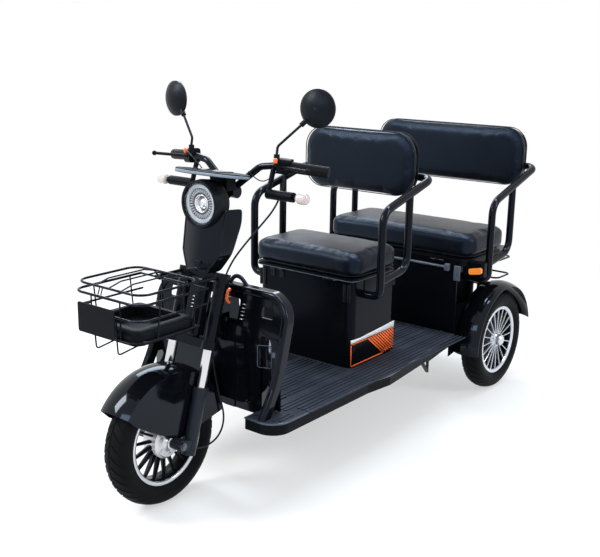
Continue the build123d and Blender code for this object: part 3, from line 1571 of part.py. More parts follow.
with BuildPart() as rear_rack:
    add(rack_loop(rack_top_z))
    add(rack_loop(rack_low_z))
    rack_end_y = aft(rear_reach) - rack_wire_radius
    add(straight_rod((-rack_root_x, aft(rack_turn_y), rack_top_z),
                     (rack_root_x, aft(rack_turn_y), rack_top_z), rack_wire_radius))
    for index in range(rack_slats):
        x = (index - (rack_slats - 1) / 2) * 2 * rack_root_x / (rack_slats - 1)
        add(straight_rod((x, aft(rack_turn_y), rack_top_z), (x, rack_end_y, rack_top_z), rack_slat_radius))
        add(straight_rod((x, rack_end_y, rack_low_z), (x, rack_end_y, rack_top_z), rack_slat_radius))
finish(rear_rack, "rear_rack")

# ---------------------------------------------------------------- brake linkage below the floor
with BuildPart() as brake_linkage:
    for side in (1, -1):
        with BuildSketch(Plane.YZ.offset(side * linkage_x)):
            with BuildLine():
                Polyline(
                    (aft(linkage_front_y), rail_top_z),
                    (aft(linkage_rear_y), rail_top_z),
                    (aft(linkage_rear_y), rail_top_z - linkage_drop),
                    (aft(linkage_rear_y) - linkage_bar, rail_top_z - linkage_drop),
                    close=True,
                )
            make_face()
            with BuildLine():
                Polyline(
                    (aft(linkage_front_y) + 3 * linkage_bar, rail_top_z - linkage_bar),
                    (aft(linkage_rear_y) - linkage_bar, rail_top_z - linkage_bar),
                    (aft(linkage_rear_y) - linkage_bar, rail_top_z - linkage_drop + 2 * linkage_bar),
                    close=True,
                )
            make_face(mode=Mode.SUBTRACT)
        extrude(amount=linkage_bar / 2, both=True)
        add(bent_rod(
            [
                (side * linkage_x, aft(linkage_rear_y) - brake_rod_foot, rail_top_z - linkage_rod_drop),
                (side * brake_rod_x, aft(rear_box_front_y), rail_top_z - linkage_rod_drop),
                (side * brake_rod_x, rear_axle_y - brake_plate_radius / 2, wheel_radius + brake_rod_rise),
            ],
            brake_rod_bend,
            brake_rod_radius,
        ))
    add(axle_with_saddles.part, mode=Mode.SUBTRACT)
# the ends of the rods inside the axle's saddles are left out
linkage_solids = [solid for solid in brake_linkage.part.solids()
                  if solid.bounding_box().size.Y > linkage_drop]
with BuildPart() as linkage_kept:
    for solid in linkage_solids:
        add(solid)
finish(linkage_kept, "brake_linkage")
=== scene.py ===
"""Finishes for the electric tricycle: materials, upholstery, tyres, lamps, trim and the studio.

Laid out as a Blender add-on. Each piece or group of like pieces has its own operator, and
main() runs them in order. All sizes are in metres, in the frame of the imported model:
+Z up, -Y forward, +X to the rider's left, with the ground at Z = 0.
"""

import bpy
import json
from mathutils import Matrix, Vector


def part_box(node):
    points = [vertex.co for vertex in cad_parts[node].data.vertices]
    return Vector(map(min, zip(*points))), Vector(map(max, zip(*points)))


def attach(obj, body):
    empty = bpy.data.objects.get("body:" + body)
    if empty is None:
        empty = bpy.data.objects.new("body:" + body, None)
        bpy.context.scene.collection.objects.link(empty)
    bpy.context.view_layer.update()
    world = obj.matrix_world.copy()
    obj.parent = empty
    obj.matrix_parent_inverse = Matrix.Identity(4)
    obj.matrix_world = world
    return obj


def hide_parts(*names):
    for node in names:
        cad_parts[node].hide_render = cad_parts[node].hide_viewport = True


bl_info = {
    "name": "Electric Tricycle Finishes",
    "version": (1, 0, 0),
    "blender": (4, 5, 0),
    "location": "3D View > Sidebar > Tricycle",
    "description": "Upholstery, tyres, lamps, trim and materials for an electric tricycle",
    "category": "Object",
}

import json
import math

import bmesh
import bpy
from bpy.props import FloatProperty, FloatVectorProperty, IntProperty, PointerProperty
from mathutils import Matrix, Vector

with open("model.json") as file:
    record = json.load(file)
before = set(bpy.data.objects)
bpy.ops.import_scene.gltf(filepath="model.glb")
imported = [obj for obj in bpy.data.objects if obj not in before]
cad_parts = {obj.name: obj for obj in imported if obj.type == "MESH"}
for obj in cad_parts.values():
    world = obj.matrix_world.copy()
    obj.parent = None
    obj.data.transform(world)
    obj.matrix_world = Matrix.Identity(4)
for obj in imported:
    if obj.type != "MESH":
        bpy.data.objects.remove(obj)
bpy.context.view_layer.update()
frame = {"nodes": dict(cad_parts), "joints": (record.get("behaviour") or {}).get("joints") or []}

joints = {joint["name"]: joint for joint in frame["joints"]}
front_axle = Vector(joints["front_wheel_spin"]["pos_m"])
rear_axle_left = Vector(joints["rear_left_spin"]["pos_m"])
rear_axle_right = Vector(joints["rear_right_spin"]["pos_m"])
wheel_centres = {
    "front_wheel": front_axle,
    "rear_wheel_left": rear_axle_left,
    "rear_wheel_right": rear_axle_right,
}
wheel_tyres = {
    "front_wheel": "front_tyre",
    "rear_wheel_left": "rear_tyre_left",
    "rear_wheel_right": "rear_tyre_right",
}


# ------------------------------------------------------------------ settings

class TricycleColours(bpy.types.PropertyGroup):
    """Colours that an owner would choose."""
    paint: FloatVectorProperty(name="Paint", description="Gloss paint of the tubes and panels",
                               subtype="COLOR", size=3, min=0, max=1, default=(0.0022, 0.0027, 0.004))
    leather: FloatVectorProperty(name="Upholstery", description="Cover of the seats and backrests",
                                 subtype="COLOR", size=3, min=0, max=1, default=(0.0034, 0.0042, 0.0062))
    accent: FloatVectorProperty(name="Accent", description="Stripes, hook and small caps",
                                subtype="COLOR", size=3, min=0, max=1, default=(0.83, 0.13, 0.02))
    floor_mat: FloatVectorProperty(name="Floor mat", description="Ribbed rubber of the floor",
                                   subtype="COLOR", size=3, min=0, max=1, default=(0.022, 0.027, 0.037))


class TricycleSizes(bpy.types.PropertyGroup):
    """Sizes of the finish that the frame doesn't hold."""
    tread_depth: FloatProperty(name="Tread depth", description="Height of a tread lug",
                               unit="LENGTH", min=0.001, max=0.006, default=0.0022)
    tread_lugs: IntProperty(name="Tread lugs", description="Lugs on each side of a tyre",
                            min=12, max=60, default=36)
    cushion_voxel: FloatProperty(name="Cushion voxel", description="Mesh size of the padding",
                                 unit="LENGTH", min=0.004, max=0.01, default=0.006)
    cushion_swell: FloatProperty(name="Cushion swell", description="How far padding may swell",
                                 unit="LENGTH", min=0.0, max=0.02, default=0.008)
    floor_rib_pitch: FloatProperty(name="Floor rib pitch", description="Distance from rib to rib",
                                   unit="LENGTH", min=0.01, max=0.06, default=0.0165)


class TricycleStage(bpy.types.PropertyGroup):
    """Where the camera stands and how bright the studio is."""
    camera_place: FloatVectorProperty(name="Camera place", description="Camera's place in the frame",
                                      subtype="XYZ", unit="LENGTH", size=3, default=(1.962, -2.623, 1.4))
    camera_turn: FloatProperty(name="Camera turn", description="Turn about the vertical",
                               subtype="ANGLE", default=0.663)
    camera_dip: FloatProperty(name="Camera dip", description="How far the camera looks down",
                              subtype="ANGLE", default=0.252)
    camera_roll: FloatProperty(name="Camera roll", description="Roll about the line of sight",
                               subtype="ANGLE", default=0.016)
    focal_length: FloatProperty(name="Focal length", description="Lens in millimetres on a 36 mm frame",
                                min=20, max=200, default=56.16)
    key_power: FloatProperty(name="Key light", description="Power of the large soft light in watts",
                             min=0, max=2000, default=170)
    sky_strength: FloatProperty(name="Sky strength", description="Brightness of the studio's walls",
                                min=0, max=2, default=0.75)


# ------------------------------------------------------------------ node helpers

def fill(tree, node, inputs):
    """Gives a node's inputs, by name or number, a plain value or a link; a bare colour gains its alpha."""
    for key, source in inputs.items():
        socket = node.inputs[key]
        if isinstance(source, bpy.types.NodeSocket):
            tree.links.new(source, socket)
        elif socket.type == "RGBA":
            socket.default_value = (*source[:3], 1.0)
        else:
            socket.default_value = source


def add_node(tree, kind, inputs=None, **attributes):
    """A new node with its attributes and inputs set."""
    node = tree.nodes.new(kind)
    for key, value in attributes.items():
        setattr(node, key, value)
    fill(tree, node, inputs or {})
    return node


def mix_colours(tree, factor, first, second):
    """A colour mix; each part is a value or a socket."""
    return add_node(tree, "ShaderNodeMix", {0: factor, 6: first, 7: second}, data_type="RGBA").outputs[2]


def maths(tree, operation, first, second):
    """The result of an operation on two numbers."""
    return add_node(tree, "ShaderNodeMath", {0: first, 1: second}, operation=operation).outputs[0]


def noise(tree, place, scale, detail=3.0, roughness=0.5):
    """A noise pattern's value at a place."""
    inputs = {"Vector": place, "Scale": scale, "Detail": detail, "Roughness": roughness}
    return add_node(tree, "ShaderNodeTexNoise", inputs).outputs["Fac"]


def spread(tree, value, low, high, to_low, to_high):
    """Maps a value's range to another, clamped."""
    inputs = {0: value, 1: low, 2: high, 3: to_low, 4: to_high}
    return add_node(tree, "ShaderNodeMapRange", inputs).outputs[0]


def upward(tree):
    """How far each face looks up."""
    normal = add_node(tree, "ShaderNodeNewGeometry").outputs["Normal"]
    return add_node(tree, "ShaderNodeSeparateXYZ", {0: normal}).outputs["Z"]


def bump(tree, height, strength, distance, below=None):
    """A normal from a height, on top of another normal if given."""
    inputs = {"Strength": strength, "Distance": distance, "Height": height}
    if below is not None:
        inputs["Normal"] = below
    return add_node(tree, "ShaderNodeBump", inputs).outputs["Normal"]


def shades(colour, dark, light):
    """A darker and a lighter shade of a colour."""
    return [part * dark for part in colour], [min(1.0, part * light) for part in colour]


# ------------------------------------------------------------------ materials

dust_colour = (0.3, 0.31, 0.33)
coat_roughness = 0.05
sheen_roughness = 0.4
glass_ior = 1.5


def blank_material(name):
    """A material with one Principled shader; gives it, its tree, the shader and each point's place."""
    made = bpy.data.materials.new(name)
    made.use_nodes = True
    tree = made.node_tree
    place = add_node(tree, "ShaderNodeTexCoord").outputs["Object"]
    return made, tree, tree.nodes["Principled BSDF"], place


def coated(name, colour, rough, metal=0.0, coat=0.0, dust=0.012, wave=0.0006, wave_scale=35.0,
           shine=0.28, cast=(0.6, 0.74, 1.0)):
    """A smooth finish with slight waviness, uneven gloss and a trace of dust on top faces."""
    made, tree, shader, place = blank_material(name)
    cloud = noise(tree, place, 9.0, 4.0, 0.6)
    tint = mix_colours(tree, cloud, *shades(colour, 0.8, 1.2))
    dusty = maths(tree, "MULTIPLY", spread(tree, upward(tree), 0.4, 1.0, 0.0, dust), cloud)
    waves = bump(tree, noise(tree, place, wave_scale, 2.0), 0.35, wave)
    fill(tree, shader, {
        "Base Color": mix_colours(tree, dusty, tint, dust_colour),
        "Roughness": spread(tree, cloud, 0.3, 0.7, rough * 0.8, rough * 1.25),
        "Metallic": metal,
        "Coat Weight": coat,
        "Coat Roughness": coat_roughness,
        "Specular IOR Level": shine,
        # The blue Specular Tint is a painted sky reflection: it turns the white studio's reflections blue.
        "Specular Tint": cast,
        "Normal": bump(tree, noise(tree, place, 210.0, 2.0), 0.12, 0.0001, waves),
    })
    return made


def grained(name, colour, rough, grain_size=0.0022, grain_depth=0.0003, sheen=0.0, speck=0.2, shine=0.16,
            cast=(0.7, 0.82, 1.0)):
    """A moulded or leather surface with cell-shaped grain."""
    made, tree, shader, place = blank_material(name)
    swirl = add_node(tree, "ShaderNodeTexNoise",
                     {"Vector": place, "Scale": 0.35 / grain_size, "Detail": 1.0})
    warp = add_node(tree, "ShaderNodeVectorMath",
                    {0: swirl.outputs["Color"], 1: (grain_size, grain_size, grain_size), 2: place},
                    operation="MULTIPLY_ADD")
    cells = add_node(tree, "ShaderNodeTexVoronoi", {"Vector": warp.outputs[0], "Scale": 1.0 / grain_size},
                     feature="DISTANCE_TO_EDGE")
    creases = spread(tree, cells.outputs["Distance"], 0.0, 0.22, 0.0, 1.0)
    cloud = noise(tree, place, 7.0, 4.0, 0.6)
    tint = mix_colours(tree, cloud, *shades(colour, 1.0 - speck, 1.0 + speck))
    broad = bump(tree, noise(tree, place, 26.0, 3.0), 0.25, 0.0012)
    fill(tree, shader, {
        "Base Color": mix_colours(tree, creases, [part * 0.55 for part in colour], tint),
        "Roughness": spread(tree, cloud, 0.25, 0.75, rough * 0.86, rough * 1.14),
        "Specular IOR Level": shine,
        # The blue Specular Tint is a painted sky reflection: it turns the white studio's reflections blue.
        "Specular Tint": cast,
        "Sheen Weight": sheen,
        "Sheen Roughness": sheen_roughness,
        "Normal": bump(tree, creases, 0.6, grain_depth, broad),
    })
    return made


def brushed(name, colour, rough, stretch=(260.0, 12.0, 260.0)):
    """Metal with fine marks along one axis."""
    made, tree, shader, place = blank_material(name)
    mapping = add_node(tree, "ShaderNodeMapping", {"Vector": place, "Scale": stretch})
    marks = noise(tree, mapping.outputs[0], 1.0, 4.0, 0.7)
    fill(tree, shader, {
        "Base Color": mix_colours(tree, noise(tree, place, 14.0, 3.0), *shades(colour, 0.82, 1.12)),
        "Roughness": spread(tree, marks, 0.3, 0.7, rough * 0.75, rough * 1.3),
        "Metallic": 1.0,
        "Normal": bump(tree, marks, 0.15, 0.0002),
    })
    return made


def clear(name, colour, rough=0.02):
    """Clear glass or plastic with faint smears."""
    made, tree, shader, place = blank_material(name)
    fill(tree, shader, {
        "Base Color": colour,
        "Roughness": spread(tree, noise(tree, place, 30.0, 3.0), 0.4, 0.8, rough, rough * 3.0),
        "Transmission Weight": 1.0,
        "IOR": glass_ior,
    })
    return made


def ribbed_rubber(name, colour, rough, shine=0.12, sides=None):
    """Rubber with a dull bloom and fine mould marks; upright faces may have a colour of their own."""
    made, tree, shader, place = blank_material(name)
    cloud = noise(tree, place, 11.0, 5.0, 0.65)
    bloom = [min(1.0, part * 1.5 + 0.001) for part in colour]
    tint = mix_colours(tree, spread(tree, cloud, 0.35, 0.8, 0.0, 1.0), colour, bloom)
    if sides:
        tint = mix_colours(tree, spread(tree, upward(tree), 0.2, 0.8, 0.0, 1.0), sides, tint)
    patches = bump(tree, cloud, 0.2, 0.001)
    fill(tree, shader, {
        "Base Color": tint,
        "Roughness": spread(tree, cloud, 0.2, 0.8, rough * 0.85, rough * 1.1),
        "Specular IOR Level": shine,
        "Normal": bump(tree, noise(tree, place, 480.0, 2.0), 0.3, 0.0002, patches),
    })
    return made


# ------------------------------------------------------------------ mesh helpers

def piece(name, mesh, finish, body, stands_for=(), crease=None):
    """Links a mesh as a piece that rides on a body; edges sharper than crease degrees stay sharp."""
    made = bpy.data.objects.new(name, mesh)
    bpy.context.scene.collection.objects.link(made)
    mesh.materials.append(finishes[finish])
    for face in mesh.polygons:
        face.use_smooth = True
    if crease:
        mesh.set_sharp_from_angle(angle=math.radians(crease))
    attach(made, body)
    if stands_for:
        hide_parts(*stands_for)
    return made


def mesh_from(name, vertices, faces):
    """A mesh from points and faces, with its normals facing out."""
    mesh = bpy.data.meshes.new(name)
    mesh.from_pydata([tuple(v) for v in vertices], [], faces)
    shape = bmesh.new()
    shape.from_mesh(mesh)
    bmesh.ops.remove_doubles(shape, verts=shape.verts, dist=1e-6)
    bmesh.ops.recalc_face_normals(shape, faces=shape.faces)
    shape.to_mesh(mesh)
    shape.free()
    return mesh


def joined(name, meshes):
    """One mesh from several."""
    shape = bmesh.new()
    for mesh in meshes:
        shape.from_mesh(mesh)
    whole = bpy.data.meshes.new(name)
    shape.to_mesh(whole)
    shape.free()
    return whole


def ring_faces(rows, around, closed=False):
    """Quads between rows of points that each run round; closed joins the last row to the first."""
    return [(row * around + k, row * around + (k + 1) % around,
             (row + 1) % rows * around + (k + 1) % around, (row + 1) % rows * around + k)
            for row in range(rows if closed else rows - 1) for k in range(around)]


def lathe(name, outline, centre, axis, segments=96):
    """Turns a closed outline of (along, radius) points about an axis through the centre."""
    axis = Vector(axis).normalized()
    side = axis.orthogonal().normalized()
    other = axis.cross(side)
    vertices = []
    for step in range(segments):
        angle = 2 * math.pi * step / segments
        out = side * math.cos(angle) + other * math.sin(angle)
        vertices += [Vector(centre) + axis * along + out * radius for along, radius in outline]
    return mesh_from(name, vertices, ring_faces(segments, len(outline), closed=True))


def wire(name, points, radius, bend=0.0, sides=12, closed=False):
    """A round rod through points, with its corners rounded."""
    route = rounded_route(points, bend, closed) if bend else [Vector(p) for p in points]
    curve = bpy.data.curves.new(name, "CURVE")
    curve.dimensions = "3D"
    curve.bevel_depth = radius
    curve.bevel_resolution = max(1, sides // 4 - 1)
    curve.use_fill_caps = True
    spline = curve.splines.new("POLY")
    spline.points.add(len(route) - 1)
    for point, place in zip(spline.points, route):
        point.co = (*place, 1.0)
    spline.use_cyclic_u = closed
    holder = bpy.data.objects.new(name, curve)
    mesh = bpy.data.meshes.new_from_object(holder)
    bpy.data.objects.remove(holder)
    bpy.data.curves.remove(curve)
    return mesh


def rounded_route(points, bend, closed=False, steps=7):
    """Straight runs joined by arcs of one radius."""
    places = [Vector(p) for p in points]
    count = len(places)
    route = []
    for index, corner in enumerate(places):
        if not closed and index in (0, count - 1):
            route.append(corner)
            continue
        before = (places[index - 1] - corner)
        after = (places[(index + 1) % count] - corner)
        turn = math.pi - before.angle(after)
        reach = min(bend * math.tan(turn / 2), before.length * 0.48, after.length * 0.48)
        start = corner + before.normalized() * reach
        finish = corner + after.normalized() * reach
        for step in range(steps + 1):
            t = step / steps
            route.append(start * (1 - t) ** 2 + corner * 2 * t * (1 - t) + finish * t ** 2)
    return route


def soft_box(name, low, high, bevel, segments=3):
    """A box between two corners with rounded edges."""
    low, high = Vector(low), Vector(high)
    shape = bmesh.new()
    bmesh.ops.create_cube(shape, size=1.0)
    for vertex in shape.verts:
        vertex.co = Vector(
            low[k] + (vertex.co[k] + 0.5) * (high[k] - low[k]) for k in range(3))
    bmesh.ops.bevel(shape, geom=shape.edges[:], offset=bevel, segments=segments, profile=0.5,
                    affect="EDGES")
    mesh = bpy.data.meshes.new(name)
    shape.to_mesh(mesh)
    shape.free()
    return mesh


def plate(name, outline, near, thickness, across="Y"):
    """A flat upright plate from an (along, z) outline, thin in the axis across; thickness is signed."""
    count = len(outline)
    vertices = []
    for depth in (near, near + thickness):
        vertices += [(along, depth, z) if across == "Y" else (depth, along, z) for along, z in outline]
    faces = [tuple(range(count)), tuple(range(2 * count - 1, count - 1, -1))]
    return mesh_from(name, vertices, faces + ring_faces(2, count))


def smooth_route(points, steps):
    """Evenly spread points along a smooth line that runs near the given ones."""
    curve = bpy.data.curves.new("route", "CURVE")
    curve.dimensions = "3D"
    spline = curve.splines.new("NURBS")
    spline.points.add(len(points) - 1)
    for point, place in zip(spline.points, points):
        point.co = (*place, 1.0)
    spline.order_u = 3
    spline.use_endpoint_u = True
    spline.resolution_u = 24
    holder = bpy.data.objects.new("route", curve)
    mesh = bpy.data.meshes.new_from_object(holder)
    line = [v.co.copy() for v in mesh.vertices]
    bpy.data.objects.remove(holder)
    bpy.data.curves.remove(curve)
    bpy.data.meshes.remove(mesh)
    lengths = [0.0]
    for a, b in zip(line, line[1:]):
        lengths.append(lengths[-1] + (b - a).length)
    even = []
    index = 0
    for step in range(steps + 1):
        target = lengths[-1] * step / steps
        while index < len(line) - 2 and lengths[index + 1] < target:
            index += 1
        span = lengths[index + 1] - lengths[index]
        even.append(line[index].lerp(line[index + 1], (target - lengths[index]) / span if span else 0.0))
    return even


def pleated(name, points, radius, pitch):
    """A corrugated sleeve that follows a smooth line."""
    line = smooth_route(points, 12)
    total = sum((b - a).length for a, b in zip(line, line[1:]))
    count = max(4, int(total / pitch))
    line = smooth_route(points, count * 4)
    vertices, around = [], 16
    side = (line[1] - line[0]).orthogonal().normalized()
    for index, place in enumerate(line):
        ahead = (line[min(index + 1, len(line) - 1)] - line[max(index - 1, 0)]).normalized()
        side = (side - ahead * side.dot(ahead)).normalized()
        other = ahead.cross(side)
        reach = radius * (0.88 + 0.12 * math.cos(math.pi * index / 2))
        for step in range(around):
            angle = 2 * math.pi * step / around
            vertices.append(place + side * (reach * math.cos(angle)) + other * (reach * math.sin(angle)))
    faces = [tuple(range(around)), tuple(range(len(vertices) - around, len(vertices)))]
    return mesh_from(name, vertices, faces + ring_faces(len(line), around))


def moved(mesh, matrix):
    """The same mesh after a move."""
    mesh.transform(matrix)
    return mesh


# ------------------------------------------------------------------ repeats by Geometry Nodes

def repeat_tree(name, around):
    """A node tree that repeats the piece's own mesh about X or along a step."""
    tree = bpy.data.node_groups.new(name, "GeometryNodeTree")
    for name, kind in (("Geometry", "Geometry"), ("Count", "Int"), ("Step", "Vector")):
        tree.interface.new_socket(name, in_out="INPUT", socket_type="NodeSocket" + kind)
    tree.interface.new_socket("Geometry", in_out="OUTPUT", socket_type="NodeSocketGeometry")
    source = add_node(tree, "NodeGroupInput").outputs
    row = add_node(tree, "GeometryNodeMeshLine", {"Count": source["Count"]}, mode="OFFSET")
    copies = add_node(tree, "GeometryNodeInstanceOnPoints",
                      {"Points": row.outputs["Mesh"], "Instance": source["Geometry"]})
    if around:
        number = add_node(tree, "GeometryNodeInputIndex").outputs[0]
        turn = add_node(tree, "ShaderNodeVectorMath", {0: source["Step"], "Scale": number},
                        operation="SCALE")
        fill(tree, row, {"Offset": (0, 0, 0)})
        fill(tree, copies, {"Rotation": turn.outputs[0]})
    else:
        fill(tree, row, {"Offset": source["Step"]})
    real = add_node(tree, "GeometryNodeRealizeInstances", {"Geometry": copies.outputs["Instances"]})
    add_node(tree, "NodeGroupOutput", {"Geometry": real.outputs["Geometry"]})
    return tree


def repeated(name, mesh, count, step, around=False):
    """The mesh repeated count times, as one plain mesh; step is radians about the axes, or metres."""
    tree = repeat_tree(name + "_repeat", around)
    holder = bpy.data.objects.new(name, mesh)
    bpy.context.scene.collection.objects.link(holder)
    modifier = holder.modifiers.new("Repeat", "NODES")
    modifier.node_group = tree
    sockets = {item.name: item.identifier for item in tree.interface.items_tree
               if item.item_type == "SOCKET" and item.in_out == "INPUT"}
    modifier[sockets["Count"]] = count
    modifier[sockets["Step"]] = step
    bpy.context.view_layer.update()
    evaluated = holder.evaluated_get(bpy.context.evaluated_depsgraph_get())
    result = bpy.data.meshes.new_from_object(evaluated)
    result.materials.clear()
    holder.modifiers.remove(modifier)
    bpy.data.objects.remove(holder)
    bpy.data.node_groups.remove(tree)
    result.name = name
    return result


def ringed(name, mesh, count, axis=0):
    """The mesh repeated evenly round the X, Y or Z axis."""
    step = [0.0, 0.0, 0.0]
    step[axis] = 2 * math.pi / count
    return repeated(name, mesh, count, step, around=True)


# ------------------------------------------------------------------ finishes

finishes = {}


def make_finishes():
    """Every material of the vehicle, from the chosen colours."""
    colours = bpy.context.scene.tricycle_colours
    paint, leather = tuple(colours.paint), tuple(colours.leather)
    accent, mat = tuple(colours.accent), tuple(colours.floor_mat)
    finishes["paint"] = coated("gloss_paint", paint, 0.14, coat=0.06, shine=0.14)
    finishes["shell"] = coated("gloss_shell", paint, 0.09, coat=0.12, wave=0.0012, wave_scale=14.0,
                               shine=0.16)
    finishes["box"] = coated("box_panel", paint, 0.2, dust=0.006, shine=0.07)
    finishes["plastic"] = grained("moulded_plastic", (0.0036, 0.004, 0.0052), 0.42, 0.0012, 0.00012,
                                  shine=0.07)
    finishes["dark_shell"] = grained("satin_shell", (0.0065, 0.0075, 0.0095), 0.38, 0.0014, 0.00008,
                                     shine=0.12)
    # The upholstery's strong blue Specular Tint is a painted sky reflection, seen most on the cushion tops.
    finishes["leather"] = grained("upholstery", leather, 0.32, 0.0026, 0.0002, sheen=0.02, shine=0.26,
                                  cast=(0.42, 0.62, 1.0))
    finishes["rubber"] = ribbed_rubber("grip_rubber", (0.0045, 0.0047, 0.0055), 0.5, shine=0.06)
    finishes["tyre"] = ribbed_rubber("tyre_rubber", (0.0035, 0.0037, 0.0045), 0.55, shine=0.05)
    finishes["floor"] = ribbed_rubber("floor_rubber", mat, 0.4, 0.06, sides=paint)
    finishes["chrome"] = brushed("chromed_tube", (0.78, 0.79, 0.82), 0.09, (40.0, 40.0, 8.0))
    finishes["alloy"] = brushed("cast_alloy", (0.6, 0.61, 0.63), 0.32, (60.0, 60.0, 60.0))
    finishes["steel"] = brushed("zinc_steel", (0.52, 0.53, 0.55), 0.3)
    finishes["dark_steel"] = brushed("dark_steel", (0.14, 0.15, 0.17), 0.35)
    finishes["dash_edge"] = coated("dash_edge", (0.16, 0.19, 0.23), 0.28, dust=0.0, shine=0.4)
    finishes["fork_leg"] = coated("fork_leg", (0.013, 0.015, 0.019), 0.32, shine=0.2)
    finishes["accent"] = coated("accent_plastic", accent, 0.25, coat=0.4)
    finishes["accent_print"] = coated("accent_print", accent, 0.35)
    finishes["white_print"] = coated("white_print", (0.78, 0.78, 0.76), 0.35)
    finishes["glass"] = clear("lamp_glass", (0.97, 0.98, 1.0))
    finishes["lens"] = coated("signal_lens", (0.5, 0.43, 0.42), 0.12, coat=0.6, shine=0.5, cast=(1, 1, 1))
    finishes["guide"] = coated("light_guide", (0.6, 0.65, 0.72), 0.25, shine=0.5, cast=(1, 1, 1))
    finishes["edge"] = coated("edge_bead", (0.05, 0.06, 0.078), 0.2, shine=0.5)
    finishes["silver"] = coated("silver_lacquer", (0.6, 0.62, 0.66), 0.24, metal=0.85, dust=0.0, shine=0.5,
                                cast=(1, 1, 1))
    # Grey trim: the real colour of the rear box rail and its brackets, and a painted highlight on the leg
    # shield's pocket edge lines.
    finishes["trim_and_highlight_grey"] = coated("trim_and_painted_highlight", (0.06, 0.072, 0.09), 0.28, shine=0.4)
    finishes["screen"] = coated("dark_screen", (0.003, 0.004, 0.006), 0.06, shine=0.5)
    finishes["wheel_black"] = coated("wheel_black", (0.0025, 0.0028, 0.0035), 0.25, shine=0.15)
    finishes["amber"] = coated("amber_lens", (0.95, 0.25, 0.03), 0.12, coat=0.8)
    finishes["red"] = coated("red_lens", (0.55, 0.01, 0.01), 0.12, coat=0.8)
    finishes["reflector"] = brushed("lamp_reflector", (0.86, 0.87, 0.9), 0.12, (30.0, 30.0, 30.0))
    finishes["mirror"] = brushed("mirror_glass", (0.9, 0.92, 0.94), 0.02, (5.0, 5.0, 5.0))
    finishes["cable"] = coated("cable_sheath", (0.006, 0.0065, 0.008), 0.35)


node_finishes = {
    "paint": ["main_frame", "fork_yokes", "handlebar", "basket_frame", "front_seat_arms",
              "rear_seat_arms", "rear_axle_housing", "rear_rack", "brake_linkage", "basket_lid",
              "seat_hinges"],
    "shell": ["leg_shield_rim", "leg_shield_panel", "front_mudguard", "rear_mudguards", "lamp_fairing"],
    "box": ["front_seat_box", "rear_seat_box"],
    "plastic": ["basket_tray", "basket_plate", "turn_signals", "backrest_shells", "front_seat_pan",
                "rear_seat_pan", "battery_block", "hand_controls", "dash_panel"],
    "dark_shell": ["headlamp_bucket", "mirrors"],
    "rubber": ["grips"],
    "floor": ["floor_deck"],
    "chrome": ["fork_tubes"],
    "alloy": ["drive_motor"],
    "dark_steel": ["front_axle"],
    "fork_leg": ["fork_sliders", "rear_shocks"],
    "accent": ["bag_hook"],
    "glass": ["headlamp_lens"],
    "lens": ["turn_signal_lenses"],
    "amber": ["marker_lenses"],
    "red": ["tail_lamps"],
    "cable": ["brake_cable"],
    "wheel_black": ["front_rim", "rear_rim_left", "rear_rim_right"],
}


class TRICYCLE_OT_finishes(bpy.types.Operator):
    """Paint every piece of the frame with its own finish"""
    bl_idname = "tricycle.finishes"
    bl_label = "Paint the Frame"

    def execute(self, context):
        make_finishes()
        for finish, names in node_finishes.items():
            for name in names:
                node = frame["nodes"].get(name)
                if node is None:
                    continue
                node.data.materials.clear()
                node.data.materials.append(finishes[finish])
        return {"FINISHED"}


# ------------------------------------------------------------------ tyres

tyre_half_width = 0.041
tyre_tread_half = 0.031
tyre_bead_half = 0.0297
tyre_bead_radius = 0.1283
tyre_lip_radius = 0.1403
tyre_bulge_radius = 0.173
tyre_radius = front_axle.z
shoulder_drop = 0.009
shoulder_radius = tyre_radius - shoulder_drop
carcass_segments = 120
lug_start = 0.003               # from the middle plane
lug_root = 0.0012               # how far a lug is sunk into the carcass
lug_crown_steps = 6
lug_side_steps = 5
lug_fade_start = 0.8            # height of a lug past the shoulder, as a share of the tread's depth
lug_fade = 0.13                 # and how much of it is lost with each step
lug_sweep = 1.5                 # along the tread, in pitches
lug_curl = 0.35
lug_half_width = 0.4
lug_taper = 0.08


def arc_through(start, middle, end, steps):
    """Points on the circle through three points."""
    (ax, ay), (bx, by), (cx, cy) = start, middle, end
    d = 2 * (ax * (by - cy) + bx * (cy - ay) + cx * (ay - by))
    a2, b2, c2 = ax**2 + ay**2, bx**2 + by**2, cx**2 + cy**2
    ux = (a2 * (by - cy) + b2 * (cy - ay) + c2 * (ay - by)) / d
    uy = (a2 * (cx - bx) + b2 * (ax - cx) + c2 * (bx - ax)) / d
    radius = math.hypot(ax - ux, ay - uy)
    first = math.atan2(ay - uy, ax - ux)
    last = math.atan2(cy - uy, cx - ux)
    through = math.atan2(by - uy, bx - ux)
    full = 2 * math.pi
    sweep = (last - first) % full
    if (through - first) % full > sweep:
        sweep -= full
    turns = [first + sweep * k / steps for k in range(steps + 1)]
    return [(ux + radius * math.cos(turn), uy + radius * math.sin(turn)) for turn in turns]


def crown_height(x, depth):
    """Radius of the tread's surface at a distance from the middle plane."""
    spare = tyre_radius - shoulder_radius
    return tyre_radius - spare * (x / tyre_tread_half) ** 2 - depth


def carcass_outline(depth):
    """The tyre's section below its lugs, from bead to bead."""
    side = arc_through((tyre_bead_half, tyre_lip_radius), (tyre_half_width, tyre_bulge_radius),
                       (tyre_tread_half, shoulder_radius - depth), 10)
    places = [tyre_tread_half * k / 6 for k in range(5, -6, -1)]
    crown = [(x, crown_height(x, depth)) for x in places]
    other = [(-x, r) for x, r in reversed(side)]
    bead = (tyre_bead_half, tyre_bead_radius)
    return [bead] + side + crown + other + [(-tyre_bead_half, tyre_bead_radius)]


